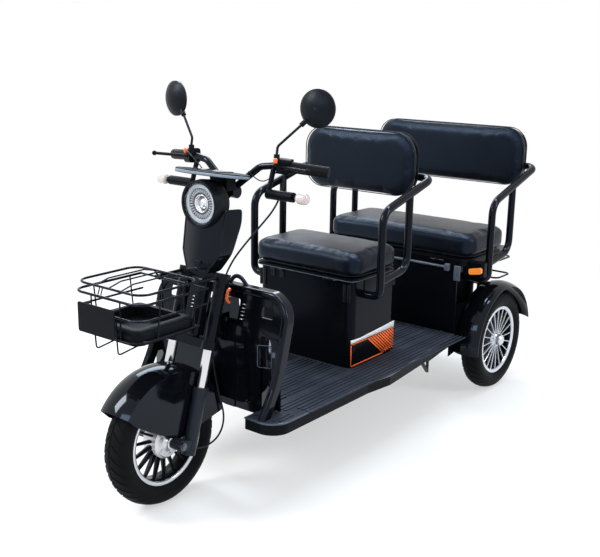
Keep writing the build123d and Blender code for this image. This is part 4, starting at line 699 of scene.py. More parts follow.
def lug_path(depth):
    """Points on the carcass from near the middle out over the shoulder, with how far a lug stands off."""
    path = []
    for step in range(lug_crown_steps + 1):
        x = lug_start + (tyre_tread_half - lug_start) * step / lug_crown_steps
        path.append((Vector((x, crown_height(x, depth))), Vector((0.0, 1.0)), depth))
    side = arc_through((tyre_tread_half, shoulder_radius - depth), (tyre_half_width, tyre_bulge_radius),
                       (tyre_bead_half, tyre_lip_radius), 20)
    for step in range(1, lug_side_steps + 1):
        x, radius = side[step]
        outward = Vector((x, radius)) - Vector((tyre_tread_half * 0.4, tyre_bulge_radius))
        path.append((Vector((x, radius)), outward.normalized(), depth * (lug_fade_start - lug_fade * step)))
    return path


def tread_lug(name, depth, side, pitch, start_angle):
    """One swept lug from near the tyre's middle out over its shoulder and a little down its side."""
    path = lug_path(depth)
    rows = len(path)
    vertices = []
    for row, (place, outward, rise) in enumerate(path):
        t = row / (rows - 1)
        middle = start_angle + pitch * (lug_sweep * t - lug_curl * t * t)
        half = pitch * (lug_half_width - lug_taper * t)
        for point in (place - outward * lug_root, place + outward * rise):
            for angle in (middle - half, middle + half):
                vertices.append((side * point.x, -point.y * math.sin(angle), point.y * math.cos(angle)))
    faces = [(0, 1, 3, 2), tuple(4 * (rows - 1) + k for k in (0, 2, 3, 1))]
    for row in range(rows - 1):
        a, b = 4 * row, 4 * (row + 1)
        faces += [(a, a + 2, b + 2, b), (a + 2, a + 3, b + 3, b + 2),
                  (a + 3, a + 1, b + 1, b + 3), (a + 1, a, b, b + 1)]
    return mesh_from(name, vertices, faces)


class TRICYCLE_OT_tyres(bpy.types.Operator):
    """Build the three tyres with their swept tread"""
    bl_idname = "tricycle.tyres"
    bl_label = "Tyres"

    def execute(self, context):
        sizes = context.scene.tricycle_sizes
        count = sizes.tread_lugs
        pitch = 2 * math.pi / count
        for body, centre in wheel_centres.items():
            carcass = lathe("carcass", carcass_outline(sizes.tread_depth), (0, 0, 0), (1, 0, 0),
                            carcass_segments)
            pair = joined("lugs", [tread_lug("left_lug", sizes.tread_depth, 1, pitch, 0.0),
                                   tread_lug("right_lug", sizes.tread_depth, -1, pitch, pitch / 2)])
            lugs = ringed("tread", pair, count)
            whole = moved(joined("tyre", [carcass, lugs]), Matrix.Translation(centre))
            piece(body + "_tyre", whole, "tyre", body, [wheel_tyres[body]], crease=38)
        return {"FINISHED"}


# ------------------------------------------------------------------ upholstery

pad_inset = 0.006               # room left round a pad for its swelling
seat_corner = 0.044
seat_edge = 0.024
seat_crown = 0.006              # how far the middle rises
seat_flat = 0.005               # taken off the half height before swelling
seat_lift = 0.0005              # room left under a pad
seat_over = 0.004               # how far a pad may pass the solid cushion
seam_inset = 0.004
seam_rise = 0.01                # of the piping above the cushion's foot
back_corner = 0.082
back_edge = 0.017
back_crown = 0.005
back_flat = 0.004
back_over = 0.003
back_seam_inset = 0.0005
back_seam_corner = 0.078
front_seam_depth = 0.014        # of the piping behind the backrest's face
rear_seam_depth = 0.008
seat_piping = 0.0016
back_piping = 0.0018
cloth_frames = 20


def outline_point(t, half_x, half_y, corner, z):
    """A point at a share t round a rounded rectangle."""
    straight_x = 2 * (half_x - corner)
    straight_y = 2 * (half_y - corner)
    quarter = math.pi * corner / 2
    total = 2 * straight_x + 2 * straight_y + 4 * quarter
    along = t * total
    runs = [
        (straight_y, (half_x, -half_y + corner), (0, 1)),
        (quarter, (half_x - corner, half_y - corner), 0),
        (straight_x, (half_x - corner, half_y), (-1, 0)),
        (quarter, (-half_x + corner, half_y - corner), 1),
        (straight_y, (-half_x, half_y - corner), (0, -1)),
        (quarter, (-half_x + corner, -half_y + corner), 2),
        (straight_x, (-half_x + corner, -half_y), (1, 0)),
        (quarter, (half_x - corner, -half_y + corner), 3),
    ]
    for length, start, way in runs:
        if along <= length or way == 3:
            if isinstance(way, tuple):
                return Vector((start[0] + way[0] * along, start[1] + way[1] * along, z))
            angle = way * math.pi / 2 + along / corner
            return Vector((start[0] + corner * math.cos(angle), start[1] + corner * math.sin(angle), z))
        along -= length
    return Vector((half_x, -half_y + corner, z))


def rounded_slab(name, half_x, half_y, half_z, corner, edge):
    """A rounded slab about the origin; edge rounds the rims."""
    rings, around = 10, 96
    turns = [math.pi / 2 * step / rings for step in range(rings, -1, -1)]
    levels = [(edge * (1 - math.cos(turn)), -half_z + edge * (1 - math.sin(turn))) for turn in turns]
    profile = levels + [(inset, -z) for inset, z in levels[::-1]]
    vertices = [outline_point(step / around, half_x - inset, half_y - inset, max(corner - inset, 0.002), z)
                for inset, z in profile for step in range(around)]
    last = (len(profile) - 1) * around
    ends = [tuple(range(around))[::-1], tuple(range(last, last + around))]
    return mesh_from(name, vertices, ends + ring_faces(len(profile), around))


def inflated(name, mesh, voxel, swell, pressure=4.0):
    """The mesh remeshed and blown up by a short cloth simulation, no point moving past swell."""
    holder = bpy.data.objects.new(name, mesh)
    bpy.context.scene.collection.objects.link(holder)
    remesh = holder.modifiers.new("Remesh", "REMESH")
    remesh.mode = "VOXEL"
    remesh.voxel_size = voxel
    bpy.context.view_layer.update()
    even = bpy.data.meshes.new_from_object(holder.evaluated_get(bpy.context.evaluated_depsgraph_get()))
    holder.modifiers.remove(remesh)
    holder.data = even
    before = [v.co.copy() for v in even.vertices]
    cloth = holder.modifiers.new("Cloth", "CLOTH")
    settings = cloth.settings
    settings.effector_weights.gravity = 0.0
    settings.use_pressure = True
    settings.uniform_pressure_force = pressure
    settings.quality = 5
    settings.mass = 0.3
    settings.tension_stiffness = 18
    settings.compression_stiffness = 18
    settings.bending_stiffness = 0.6
    scene = bpy.context.scene
    for step in range(1, cloth_frames + 1):
        scene.frame_set(step)
    blown = bpy.data.meshes.new_from_object(holder.evaluated_get(bpy.context.evaluated_depsgraph_get()))
    holder.modifiers.remove(cloth)
    scene.frame_set(1)
    for vertex, start in zip(blown.vertices, before):
        shift = vertex.co - start
        if shift.length > swell:
            vertex.co = start + shift.normalized() * swell
    bpy.data.objects.remove(holder)
    return blown


def finish_pad(name, mesh, body, node):
    made = piece(name, mesh, "leather", body, [node])
    once = made.modifiers.new("Smooth", "SUBSURF")
    once.levels = 1
    once.render_levels = 1
    return made


def squeeze_into(mesh, low, high):
    """Scales a mesh so that it fills the box between two corners."""
    least, most = (Vector(pick(v.co[k] for v in mesh.vertices) for k in range(3)) for pick in (min, max))
    for vertex in mesh.vertices:
        vertex.co = Vector(low[k] + (vertex.co[k] - least[k]) / (most[k] - least[k]) * (high[k] - low[k])
                           for k in range(3))


def crown_top(mesh, half, rise):
    """Raises the middle of the pad's upper side a little."""
    for vertex in mesh.vertices:
        x, y, z = vertex.co
        if z > 0:
            share = max(0.0, 1 - (x / half.x) ** 2) * max(0.0, 1 - (y / half.y) ** 2)
            vertex.co.z = z + rise * share


def welt(name, half_x, half_y, corner, z, radius, matrix):
    """A thin piping that runs round a pad."""
    route = [matrix @ outline_point(step / 120, half_x, half_y, corner, z) for step in range(120)]
    return wire(name, route, radius, closed=True, sides=8)


class TRICYCLE_OT_cushions(bpy.types.Operator):
    """Make the two seat cushions and the two backrests as blown-up padding with piping"""
    bl_idname = "tricycle.cushions"
    bl_label = "Seat Cushions and Backrests"

    def execute(self, context):
        sizes = context.scene.tricycle_sizes
        for end in ("front", "rear"):
            node, body = end + "_seat_cushion", end + "_seat_lid"
            low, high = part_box(node)
            centre, half = (low + high) / 2, (high - low) / 2
            slab = rounded_slab(node, half.x - pad_inset, half.y - pad_inset, half.z - seat_flat,
                                seat_corner, seat_edge)
            pad = inflated(node, slab, sizes.cushion_voxel, sizes.cushion_swell)
            crown_top(pad, half, seat_crown)
            squeeze_into(pad, low + Vector((0, 0, seat_lift)), high + Vector((0, 0, seat_over)))
            finish_pad(node + "_pad", pad, body, node)
            place = Matrix.Translation(centre)
            piping = welt(node + "_welt", half.x - seam_inset, half.y - seam_inset, seat_corner,
                          seam_rise - half.z, seat_piping, place)
            piece(node + "_piping", piping, "leather", body)
        stand = Matrix.Rotation(math.pi / 2, 4, "X")
        for node in ("front_backrest", "rear_backrest"):
            low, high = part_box(node)
            centre, half = (low + high) / 2, (high - low) / 2
            slab = rounded_slab(node, half.x - pad_inset, half.z - pad_inset, half.y - back_flat,
                                back_corner, back_edge)
            pad = inflated(node, slab, sizes.cushion_voxel, sizes.cushion_swell)
            crown_top(pad, half.xzy, back_crown)
            pad.transform(stand)
            squeeze_into(pad, low - Vector((0, back_over, 0)), high)
            finish_pad(node + "_pad", pad, "chassis", node)
            place = Matrix.Translation(centre) @ stand
            for depth, name in ((half.y - front_seam_depth, "_front_piping"),
                                (-half.y + rear_seam_depth, "_back_piping")):
                piping = welt(node + name, half.x - back_seam_inset, half.z - back_seam_inset,
                              back_seam_corner, depth, back_piping, place)
                piece(node + name, piping, "leather", "chassis")
        return {"FINISHED"}


# ------------------------------------------------------------------ headlamp

led_count = 32
led_low = (-0.0016, -0.003, 0.034)       # a segment's corners from the lamp's middle, at the top
led_high = (0.0016, 0.003, 0.0455)
led_round = 0.0006
led_depth = 0.0055
ring_outline = ((-0.0092, 0.0072), (-0.0088, 0.0045), (-0.0042, 0.0004), (-0.001, 0.0004),
                (-0.0045, 0.0064))       # depth, and radius beyond the glass
guide_outline = ((0.0012, -0.0002), (0.0012, -0.015), (0.004, -0.0165), (0.006, -0.0165),
                 (0.004, -0.0002))
cup_outline = ((0.006, 0.0285), (0.004, 0.0265), (0.008, 0.0235), (0.02, 0.0175), (0.022, 0.0185),
               (0.012, 0.027))
bowl_front = ((0.0042, -0.0165), (0.01, -0.032))       # radius beyond the glass, as above
bowl_back = ((0.022, 0.02), (0.03, 0.017), (0.034, 0.0), (0.036, 0.0), (0.032, 0.019))
bowl_outside = ((0.012, -0.03), (0.0062, -0.0165))
dome_radius = 0.0175
dome_start = 0.006
dome_depth = 0.014
dome_back = 0.021


class TRICYCLE_OT_headlamp(bpy.types.Operator):
    """Fit the headlamp's ring, light guide, segments and projector behind the glass"""
    bl_idname = "tricycle.headlamp"
    bl_label = "Headlamp"

    def execute(self, context):
        low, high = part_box("headlamp_lens")
        middle = (0.0, high.y, (low.z + high.z) / 2)
        inward = (0, 1, 0)
        glass = (high.x - low.x) / 2

        def beyond(outline):
            return [(depth, glass + out) for depth, out in outline]

        ring = lathe("ring", beyond(ring_outline), middle, inward)
        piece("headlamp_ring", ring, "dark_shell", "steering")
        guide = lathe("guide", beyond(guide_outline), middle, inward)
        piece("headlamp_guide", guide, "guide", "steering")
        bowl = lathe("bowl", beyond(bowl_front) + list(bowl_back) + beyond(bowl_outside), middle, inward)
        piece("headlamp_bowl", bowl, "wheel_black", "steering")
        segment = soft_box("segment", led_low, led_high, led_round, 1)
        segments = ringed("segments", segment, led_count, axis=1)
        segments.transform(Matrix.Translation(Vector(middle) + Vector((0, led_depth, 0))))
        piece("headlamp_segments", segments, "guide", "steering")
        cup = lathe("cup", cup_outline, middle, inward, 72)
        piece("headlamp_cup", cup, "reflector", "steering")
        turns = [math.pi / 2 * k / 8 for k in range(9)]
        dome = [(dome_start + dome_depth * (1 - math.cos(turn)), dome_radius * math.sin(turn))
                for turn in turns]
        eye = lathe("eye", dome + [(dome_back, dome_radius), (dome_back, 0.0)], middle, inward, 72)
        piece("headlamp_projector", eye, "reflector", "steering")
        return {"FINISHED"}


# ------------------------------------------------------------------ lamp fairing

fairing_rows = (                # height, front of the middle, crease, rear edge of the wing
    (0.000, 0.0, (0.040, 0.007), (0.052, 0.055)),
    (0.291, 0.008, (0.075, 0.026), (0.088, 0.072)),
    (0.776, 0.026, (0.080, 0.045), (0.104, 0.098)),
    (1.000, 0.034, (0.082, 0.054), (0.102, 0.102)),
)


def between_rows(level):
    """The fairing's section at a share of its height."""
    for first, second in zip(fairing_rows, fairing_rows[1:]):
        if level <= second[0] + 1e-9:
            t = (level - first[0]) / (second[0] - first[0])
            middle = first[1] + (second[1] - first[1]) * t
            crease, wing = (Vector(a).lerp(Vector(b), t) for a, b in zip(first[2:], second[2:]))
            return middle, crease, wing
    return fairing_rows[-1][1:]


def fairing_point(share, level, low, height):
    """A point of the fairing; share is 0 at the middle, 1 at the crease and 2 at the wing's edge."""
    middle, crease, wing = between_rows(level)
    if share <= 1:
        x, y = crease[0] * share, middle + (crease[1] - middle) * share ** 1.5
    else:
        t = share - 1
        x, y = crease[0] + (wing[0] - crease[0]) * t, crease[1] + (wing[1] - crease[1]) * t
    return Vector((x, low.y + y, low.z + height * level))


fairing_shares = (0.0, 0.3, 0.6, 0.85, 0.95, 1.0, 1.06, 1.2, 1.6, 2.0)
fairing_levels = 12
fairing_wall = 0.004
chin_rise = 0.012
border_radius = 0.0032
chin_radius = 0.003
border_lift = 0.0015
border_start = 0.02             # level, as a share of the fairing's height
border_reach = 0.93
border_steps = 13
chin_steps = 10
chin_bow = 0.01
lamp_overlap = 0.003
mouth_low = (-0.021, -0.0005, 0.03)       # from the fairing's front foot
mouth_high = (0.021, 0.006, 0.037)
mouth_round = 0.0015


class TRICYCLE_OT_fairing(bpy.types.Operator):
    """Form the lamp fairing with its raised borders, chin slot and side wings"""
    bl_idname = "tricycle.fairing"
    bl_label = "Lamp Fairing"

    def execute(self, context):
        low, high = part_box("lamp_fairing")
        lamp_low, lamp_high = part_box("headlamp_bucket")
        lamp_z = (lamp_low.z + lamp_high.z) / 2
        clearance = (lamp_high.z - lamp_low.z) / 2 - lamp_overlap
        height = high.z - low.z
        columns = [(-1, share) for share in fairing_shares[:0:-1]]
        columns += [(1, share) for share in fairing_shares]
        vertices = []
        for row in range(fairing_levels):
            for side, share in columns:
                top_x = fairing_point(share, 0.8, low, height).x
                reach = math.sqrt(max(0.0, clearance ** 2 - top_x ** 2))
                top = 1.0 if top_x >= clearance else min(1.0, (lamp_z - reach - low.z) / height)
                point = fairing_point(share, top * row / (fairing_levels - 1), low, height)
                chin = chin_rise * (1 - min(1.0, share)) if row == 0 else 0.0
                vertices.append(Vector((side * point.x, point.y, point.z + chin)))
        wide = len(columns)
        faces = [(r * wide + c, r * wide + c + 1, (r + 1) * wide + c + 1, (r + 1) * wide + c)
                 for r in range(fairing_levels - 1) for c in range(wide - 1)]
        shell = mesh_from("fairing", vertices, faces)
        made = piece("fairing_shell", shell, "shell", "steering", ["lamp_fairing"])
        wall = made.modifiers.new("Wall", "SOLIDIFY")
        wall.thickness = fairing_wall
        wall.offset = 0.0
        smooth = made.modifiers.new("Smooth", "SUBSURF")
        smooth.levels = 2
        smooth.render_levels = 2
        borders = []
        for side in (1, -1):
            route = []
            for k in range(border_steps + 1):
                point = fairing_point(1.0, border_start + border_reach * k / border_steps, low, height)
                route.append((side * point.x, point.y - border_lift, point.z))
            borders.append(wire("border", route, border_radius, sides=12))
        chin = []
        for k in range(chin_steps + 1):
            share = -1 + 2 * k / chin_steps
            point = fairing_point(abs(share), border_start, low, height)
            chin.append((math.copysign(point.x, share), point.y - border_lift,
                         point.z + chin_bow * (1 - abs(share))))
        borders.append(wire("border", chin, chin_radius, sides=12))
        piece("fairing_borders", joined("borders", borders), "shell", "steering")
        foot = Vector((0, low.y, low.z))
        mouth = soft_box("mouth", foot + Vector(mouth_low), foot + Vector(mouth_high), mouth_round, 2)
        piece("fairing_mouth", mouth, "dark_shell", "steering")
        return {"FINISHED"}


# ------------------------------------------------------------------ wheels

bar_section = ((-0.6, -1), (0.6, -1), (1, -0.4), (1, 0.4), (0.6, 1), (-0.6, 1), (-1, 0.4), (-1, -0.4))


def bar_along(name, start, end, half_width, half_depth):
    """A tapered bar in the plane of the wheel from one (x, radius) to another, standing up along +Z."""
    (x0, r0), (x1, r1) = start, end
    (w0, w1), (d0, d1) = half_width, half_depth
    vertices = []
    for x, r, w, d in ((x0, r0, w0, d0), ((x0 + x1) / 2, (r0 + r1) / 2, (w0 + w1) / 2, (d0 + d1) / 2),
                       (x1, r1, w1, d1)):
        for across, deep in bar_section:
            vertices.append((x + d * deep, w * across, r))
    ends = [tuple(range(8)), tuple(range(16, 24))]
    return mesh_from(name, vertices, ends + ring_faces(3, 8))


def flipped(mesh, side):
    """The mesh turned to a wheel's outer side, with its faces still outward."""
    if side < 0:
        mesh.transform(Matrix.Scale(-1, 4, (1, 0, 0)))
        mesh.flip_normals()
    return mesh


def turned(name, outline, segments, place=(0, 0, 0)):
    """A shape turned about a wheel's own axis, on its outer side."""
    return lathe(name, outline, place, (1, 0, 0), segments)


rear_spokes = 20
front_spokes = 18
# each spoke's inner and outer end, then its half width and half depth at both
rear_spoke = ((0.02, 0.026), (0.0235, 0.1265), (0.0017, 0.0026), (0.0055, 0.0035))
front_spoke = ((0.006, 0.044), (0.012, 0.1262), (0.0042, 0.0034), (0.011, 0.006))
rear_bolts = 5
rear_bolt_ring = 0.0325
front_bolts = 6
front_bolt_ring = 0.0385
rear_dish_outline = ((-0.006, 0.0), (-0.006, 0.09), (-0.016, 0.1236), (-0.02, 0.1236),
                     (-0.01, 0.088), (-0.01, 0.0))
rear_drum_outline = ((-0.03, 0.0), (-0.03, 0.07), (-0.004, 0.07), (0.002, 0.064), (0.002, 0.0))
rear_hub_outline = ((0.002, 0.0), (0.002, 0.04), (0.016, 0.04), (0.022, 0.036), (0.024, 0.03),
                    (0.03, 0.0275), (0.03, 0.0))
rear_cap_outline = ((0.028, 0.0), (0.028, 0.0255), (0.044, 0.0235), (0.0495, 0.017), (0.0495, 0.0))
rear_bolt_outline = ((0.02, 0.0), (0.02, 0.0038), (0.0285, 0.0038), (0.0295, 0.003), (0.0295, 0.0))
front_drum_outline = ((-0.028, 0.013), (-0.03, 0.045), (-0.024, 0.05), (0.014, 0.0505),
                      (0.016, 0.054), (0.019, 0.054), (0.0205, 0.0515), (0.022, 0.054),
                      (0.025, 0.054), (0.0265, 0.0515), (0.028, 0.054), (0.031, 0.054),
                      (0.034, 0.05), (0.038, 0.047), (0.04, 0.03), (0.046, 0.024), (0.054, 0.022),
                      (0.056, 0.018), (0.056, 0.013))
front_bolt_outline = ((0.034, 0.0), (0.034, 0.004), (0.0425, 0.004), (0.0435, 0.0032),
                      (0.0435, 0.0))
barrel_outline = ((-0.0297, 0.1281), (0.0297, 0.1281), (0.0297, 0.1345), (0.0272, 0.1345),
                  (0.0262, 0.1265), (0.022, 0.1235), (-0.022, 0.1235), (-0.0262, 0.1265),
                  (-0.0272, 0.1345), (-0.0297, 0.1345))
lip_outline = ((0.0262, 0.1262), (0.0298, 0.1275), (0.0322, 0.134), (0.0322, 0.1392),
               (0.0308, 0.1404), (0.0299, 0.1395), (0.0297, 0.134), (0.0268, 0.1285))


class TRICYCLE_OT_wheels(bpy.types.Operator):
    """Build the spoked wheels with their bright lips, hubs and bolts"""
    bl_idname = "tricycle.wheels"
    bl_label = "Spoked Wheels"

    def execute(self, context):
        for body, side, node in (("rear_wheel_left", 1, "rear_rim_left"),
                                 ("rear_wheel_right", -1, "rear_rim_right")):
            place = Matrix.Translation(wheel_centres[body])
            dish = turned("dish", rear_dish_outline, 96)
            drum = turned("drum", rear_drum_outline, 96)
            black = joined("black", [turned("barrel", barrel_outline, 120), dish, drum])
            black = moved(flipped(black, side), place)
            piece(body + "_rim", black, "wheel_black", body, [node], crease=40)
            spoke = bar_along("spoke", *rear_spoke)
            spokes = ringed("spokes", spoke, rear_spokes)
            hub = turned("hub", rear_hub_outline, 72)
            cap = turned("cap", rear_cap_outline, 8)
            bolt = turned("bolt", rear_bolt_outline, 6, (0, 0, rear_bolt_ring))
            bolts = ringed("bolts", bolt, rear_bolts)
            lips = turned("lip", lip_outline, 120)
            bright = joined("bright", [spokes, hub, cap, bolts, lips])
            bright = moved(flipped(bright, side), place)
            piece(body + "_spokes", bright, "silver", body, crease=32)
        body = "front_wheel"
        place = Matrix.Translation(wheel_centres[body])
        spoke = bar_along("spoke", *front_spoke)
        spokes = ringed("spokes", spoke, front_spokes)
        black = joined("black", [turned("barrel", barrel_outline, 120), spokes])
        piece("front_wheel_rim", moved(black, place), "wheel_black", body, ["front_rim"], crease=40)
        drum = turned("drum", front_drum_outline, 96)
        bolt = turned("bolt", front_bolt_outline, 6, (0, 0, front_bolt_ring))
        bolts = ringed("bolts", bolt, front_bolts)
        bright = joined("bright", [drum, bolts])
        piece("front_wheel_drum", moved(bright, place), "alloy", body, crease=32)
        far_lip = turned("far_lip", [(-x, r) for x, r in lip_outline], 120)
        lips = joined("lips", [turned("near_lip", lip_outline, 120), far_lip])
        piece("front_wheel_lips", moved(lips, place), "silver", body)
        return {"FINISHED"}


# ------------------------------------------------------------------ leg shield

wall_depth = 0.016              # from the panel's front to its wall
cheek_inner_x = 0.194
cheek_inset = 0.02
cheek_height = 0.225
cheek_wall = 0.006
cheek_foot = (0.012, 0.01, 0.08)          # how far the foot widens below and above, and its height
pocket_line = 0.0012
pocket_bend = 0.008
pocket_proud = 0.001
pocket_outline = ((0.182, 0.413), (0.238, 0.421), (0.238, 0.492), (0.182, 0.484))
vent_x = 0.106
vent_half_width = 0.007
vent_bottom_z = 0.5485
vent_top_z = 0.5515
vent_near, vent_far = 0.036, 0.029       # in front of the panel's back
vent_round = 0.0012
vent_count = 5
vent_step = (0, 0.0035, 0.011)
sleeve_route = ((0.016, -0.502, 0.632), (0.03, -0.495, 0.664), (0.05, -0.492, 0.672), (0.072, -0.49, 0.66),
                (0.086, -0.49, 0.642))
sleeve_radius = 0.0075
sleeve_pitch = 0.0055


class TRICYCLE_OT_leg_shield(bpy.types.Operator):
    """Fill in the leg shield's side cheeks, pockets, vent bars and cable sleeve"""
    bl_idname = "tricycle.leg_shield"
    bl_label = "Leg Shield"

    def execute(self, context):
        low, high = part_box("leg_shield_panel")
        rim_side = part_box("leg_shield_rim")[1].x
        wall_y = low.y + wall_depth
        cheeks, lines = [], []
        for side in (1, -1):
            inner, outer = cheek_inner_x, rim_side - cheek_inset
            below, above, rise = cheek_foot
            outline = [(inner, low.z), (outer + below, low.z), (outer + above, low.z + rise),
                       (outer, low.z + cheek_height), (inner, low.z + cheek_height)]
            cheeks.append(plate("cheek", [(side * x, z) for x, z in outline], wall_y, cheek_wall))
            route = [(side * x, wall_y - pocket_proud, z) for x, z in pocket_outline]
            lines.append(wire("line", route, pocket_line, pocket_bend, closed=True))
        piece("shield_cheeks", joined("cheeks", cheeks), "shell", "chassis")
        # The pocket edge lines take the pale grey trim colour as a painted highlight along the pockets'
        # edges.
        piece("shield_pocket_edges", joined("lines", lines), "trim_and_highlight_grey", "chassis")
        bars = []
        for side in (1, -1):
            bar = soft_box("bar", (side * vent_x - vent_half_width, high.y - vent_near, vent_bottom_z),
                           (side * vent_x + vent_half_width, high.y - vent_far, vent_top_z), vent_round, 2)
            bars.append(repeated("bars", bar, vent_count, vent_step))
        piece("shield_vent_bars", joined("bars", bars), "steel", "chassis")
        sleeve = pleated("sleeve", sleeve_route, sleeve_radius, sleeve_pitch)
        piece("cable_sleeve", sleeve, "cable", "chassis")
        return {"FINISHED"}


# ------------------------------------------------------------------ bar, dash and mirrors

def elliptic_band(name, half_x, half_y, bottom, top, thickness):
    """A flat band that stands round an ellipse."""
    vertices, around = [], 120
    for step in range(around):
        angle = 2 * math.pi * step / around
        way = Vector((math.cos(angle), math.sin(angle)))
        edge = 0.0008
        for inset, z in ((edge, bottom), (0.0, bottom + edge), (0.0, top - edge), (edge, top),
                         (thickness, top), (thickness, bottom)):
            vertices.append(((half_x - inset) * way.x, (half_y - inset) * way.y, z))
    return mesh_from(name, vertices, ring_faces(around, 6, closed=True))


dash_half_y = 0.056
dash_tilt = math.radians(6)
mirror_toe = math.radians(10)
mirror_reach = 0.057
glass_radius = 0.0525
glass_outline = ((-0.001, 0.0), (-0.001, glass_radius), (0.0006, glass_radius), (0.0009, 0.052),
                 (0.0009, 0.0))
dash_proud = 0.0004
dash_drop = 0.005
band_bottom, band_top = -0.0118, -0.0036     # from the dash's middle
band_wall = 0.002
screen_size = (0.062, 0.034, 0.0016, 0.012, 0.001)       # half sizes, corner and edge
screen_place = (0, 0.004, 0.0008)
cap_x = 0.187
cap_behind = 0.022
cap_below = 0.012
cap_outline = ((0.0, 0.0), (0.0, 0.0068), (0.011, 0.0066), (0.0145, 0.0045), (0.0145, 0.0))
control_radius = 0.0018
control_routes = (
    ((0.168, -0.448, 1.006), (0.15, -0.462, 0.982), (0.128, -0.474, 0.974), (0.106, -0.486, 0.99),
     (0.092, -0.492, 1.004)),
    ((-0.19, -0.462, 1.03), (-0.168, -0.492, 1.046), (-0.138, -0.506, 1.036), (-0.11, -0.5, 1.012),
     (-0.088, -0.494, 0.985)),
)


class TRICYCLE_OT_cockpit(bpy.types.Operator):
    """Fit the dash's rim and screen, the mirror glass, the small caps and the control cables"""
    bl_idname = "tricycle.cockpit"
    bl_label = "Dash, Mirrors and Controls"

    def execute(self, context):
        low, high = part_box("dash_panel")
        centre = Vector((0.0, low.y + dash_half_y + 0.0005, high.z - dash_drop))
        stand = Matrix.Translation(centre) @ Matrix.Rotation(-dash_tilt, 4, "X")
        band = elliptic_band("dash_rim", high.x + dash_proud, dash_half_y + dash_proud, band_bottom,
                             band_top, band_wall)
        piece("dash_rim", moved(band, stand), "dash_edge", "steering")
        screen = rounded_slab("screen", *screen_size)
        screen.transform(stand @ Matrix.Translation(screen_place))
        piece("dash_screen", screen, "screen", "steering")
        mirror_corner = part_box("mirrors")[1]
        discs = []
        for side in (1, -1):
            middle = Vector((side * (mirror_corner.x - mirror_reach * math.cos(mirror_toe)),
                             mirror_corner.y - mirror_reach * math.sin(mirror_toe),
                             mirror_corner.z - mirror_reach))
            rearward = Vector((-side * math.sin(mirror_toe), math.cos(mirror_toe), 0))
            discs.append(lathe("glass", glass_outline, middle, rearward, 64))
        piece("mirror_glass", joined("mirror_glass", discs), "mirror", "steering")
        bar_low, bar_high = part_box("hand_controls")
        caps = []
        for side in (1, -1):
            foot = Vector((side * cap_x, bar_low.y + cap_behind, bar_high.z - cap_below))
            caps.append(lathe("cap", cap_outline, foot, (0, 0, 1), 24))
        piece("small_caps", joined("small_caps", caps), "accent", "steering")
        loops = [wire("cable", smooth_route(route, 24), control_radius, sides=8)
                 for route in control_routes]
        piece("control_cables", joined("control_cables", loops), "cable", "steering")
        return {"FINISHED"}


# ------------------------------------------------------------------ seat boxes

def clipped(points, limit):
    """A polygon of (along, up) points cut off beyond a limit along."""
    kept = []
    for index, (along, up) in enumerate(points):
        before_along, before_up = points[index - 1]
        if (along <= limit) != (before_along <= limit):
            t = (limit - before_along) / (along - before_along)
            kept.append((limit, before_up + (up - before_up) * t))
        if along <= limit:
            kept.append((along, up))
    return kept


def rectangle(near, far, bottom, top):
    """The (along, up) corners of an upright rectangle."""
    return [(near, bottom), (far, bottom), (far, top), (near, top)]


def flank_box(name, x, depth, front, rear, bottom, top):
    """A rounded plate that stands proud of a box's flank."""
    near, far = sorted((x - depth * 0.2, x + depth))
    return soft_box(name, (near, front, bottom), (far, rear, top), min(abs(depth) * 0.4, 0.002), 2)


print_wall = 0.0006
decal_top = 0.0885              # above the box's foot
decal_bottom = 0.005
stripe_slope = 107 / 84
stripe_count = 12
stripe_step = 0.015
stripe_width = 0.0095
stripe_start = 0.1
band_bend = 0.055
band_rises = (0.002, 0.003, 0.0265, 0.0125, 0.0155)      # above the decal, going round
frame_front, frame_bottom, frame_top = 0.0055, 0.005, 0.004
frame_top_length = 0.105
corner_rise, corner_lean = 0.016, 0.01
# the latch's and the hinge foot's depth, start and end along the box, and bottom and top below its top;
# a start below 0 counts from the box's rear
flank_fittings = (("latch", 0.006, -0.055, 0.012, 0.028, 0.014),
                  ("foot", 0.003, 0.07, 0.006, 0.062, 0.006))
latch_ribs = ((0.172, 0.184), (0.19, 0.202))
rib_bottom, rib_top = 0.076, 0.014       # below the box's top
pan_line_z = 0.011
pan_line_corner = 0.03
pan_line_radius = 0.0014
pan_line_proud = 0.0004
rail_front, rail_drop = 0.007, 0.028
# each holder's two ends across, its depth in front, and its bottom and top from the rail
rail_holders = (("bracket", 0.236, 0.256, 0.015, -0.014, 0.014),
                ("keeper", 0.272, 0.3, 0.004, -0.05, 0.01))
rail_holder_round = 0.0025
box_rail_x = 0.236
box_rail_radius = 0.0052


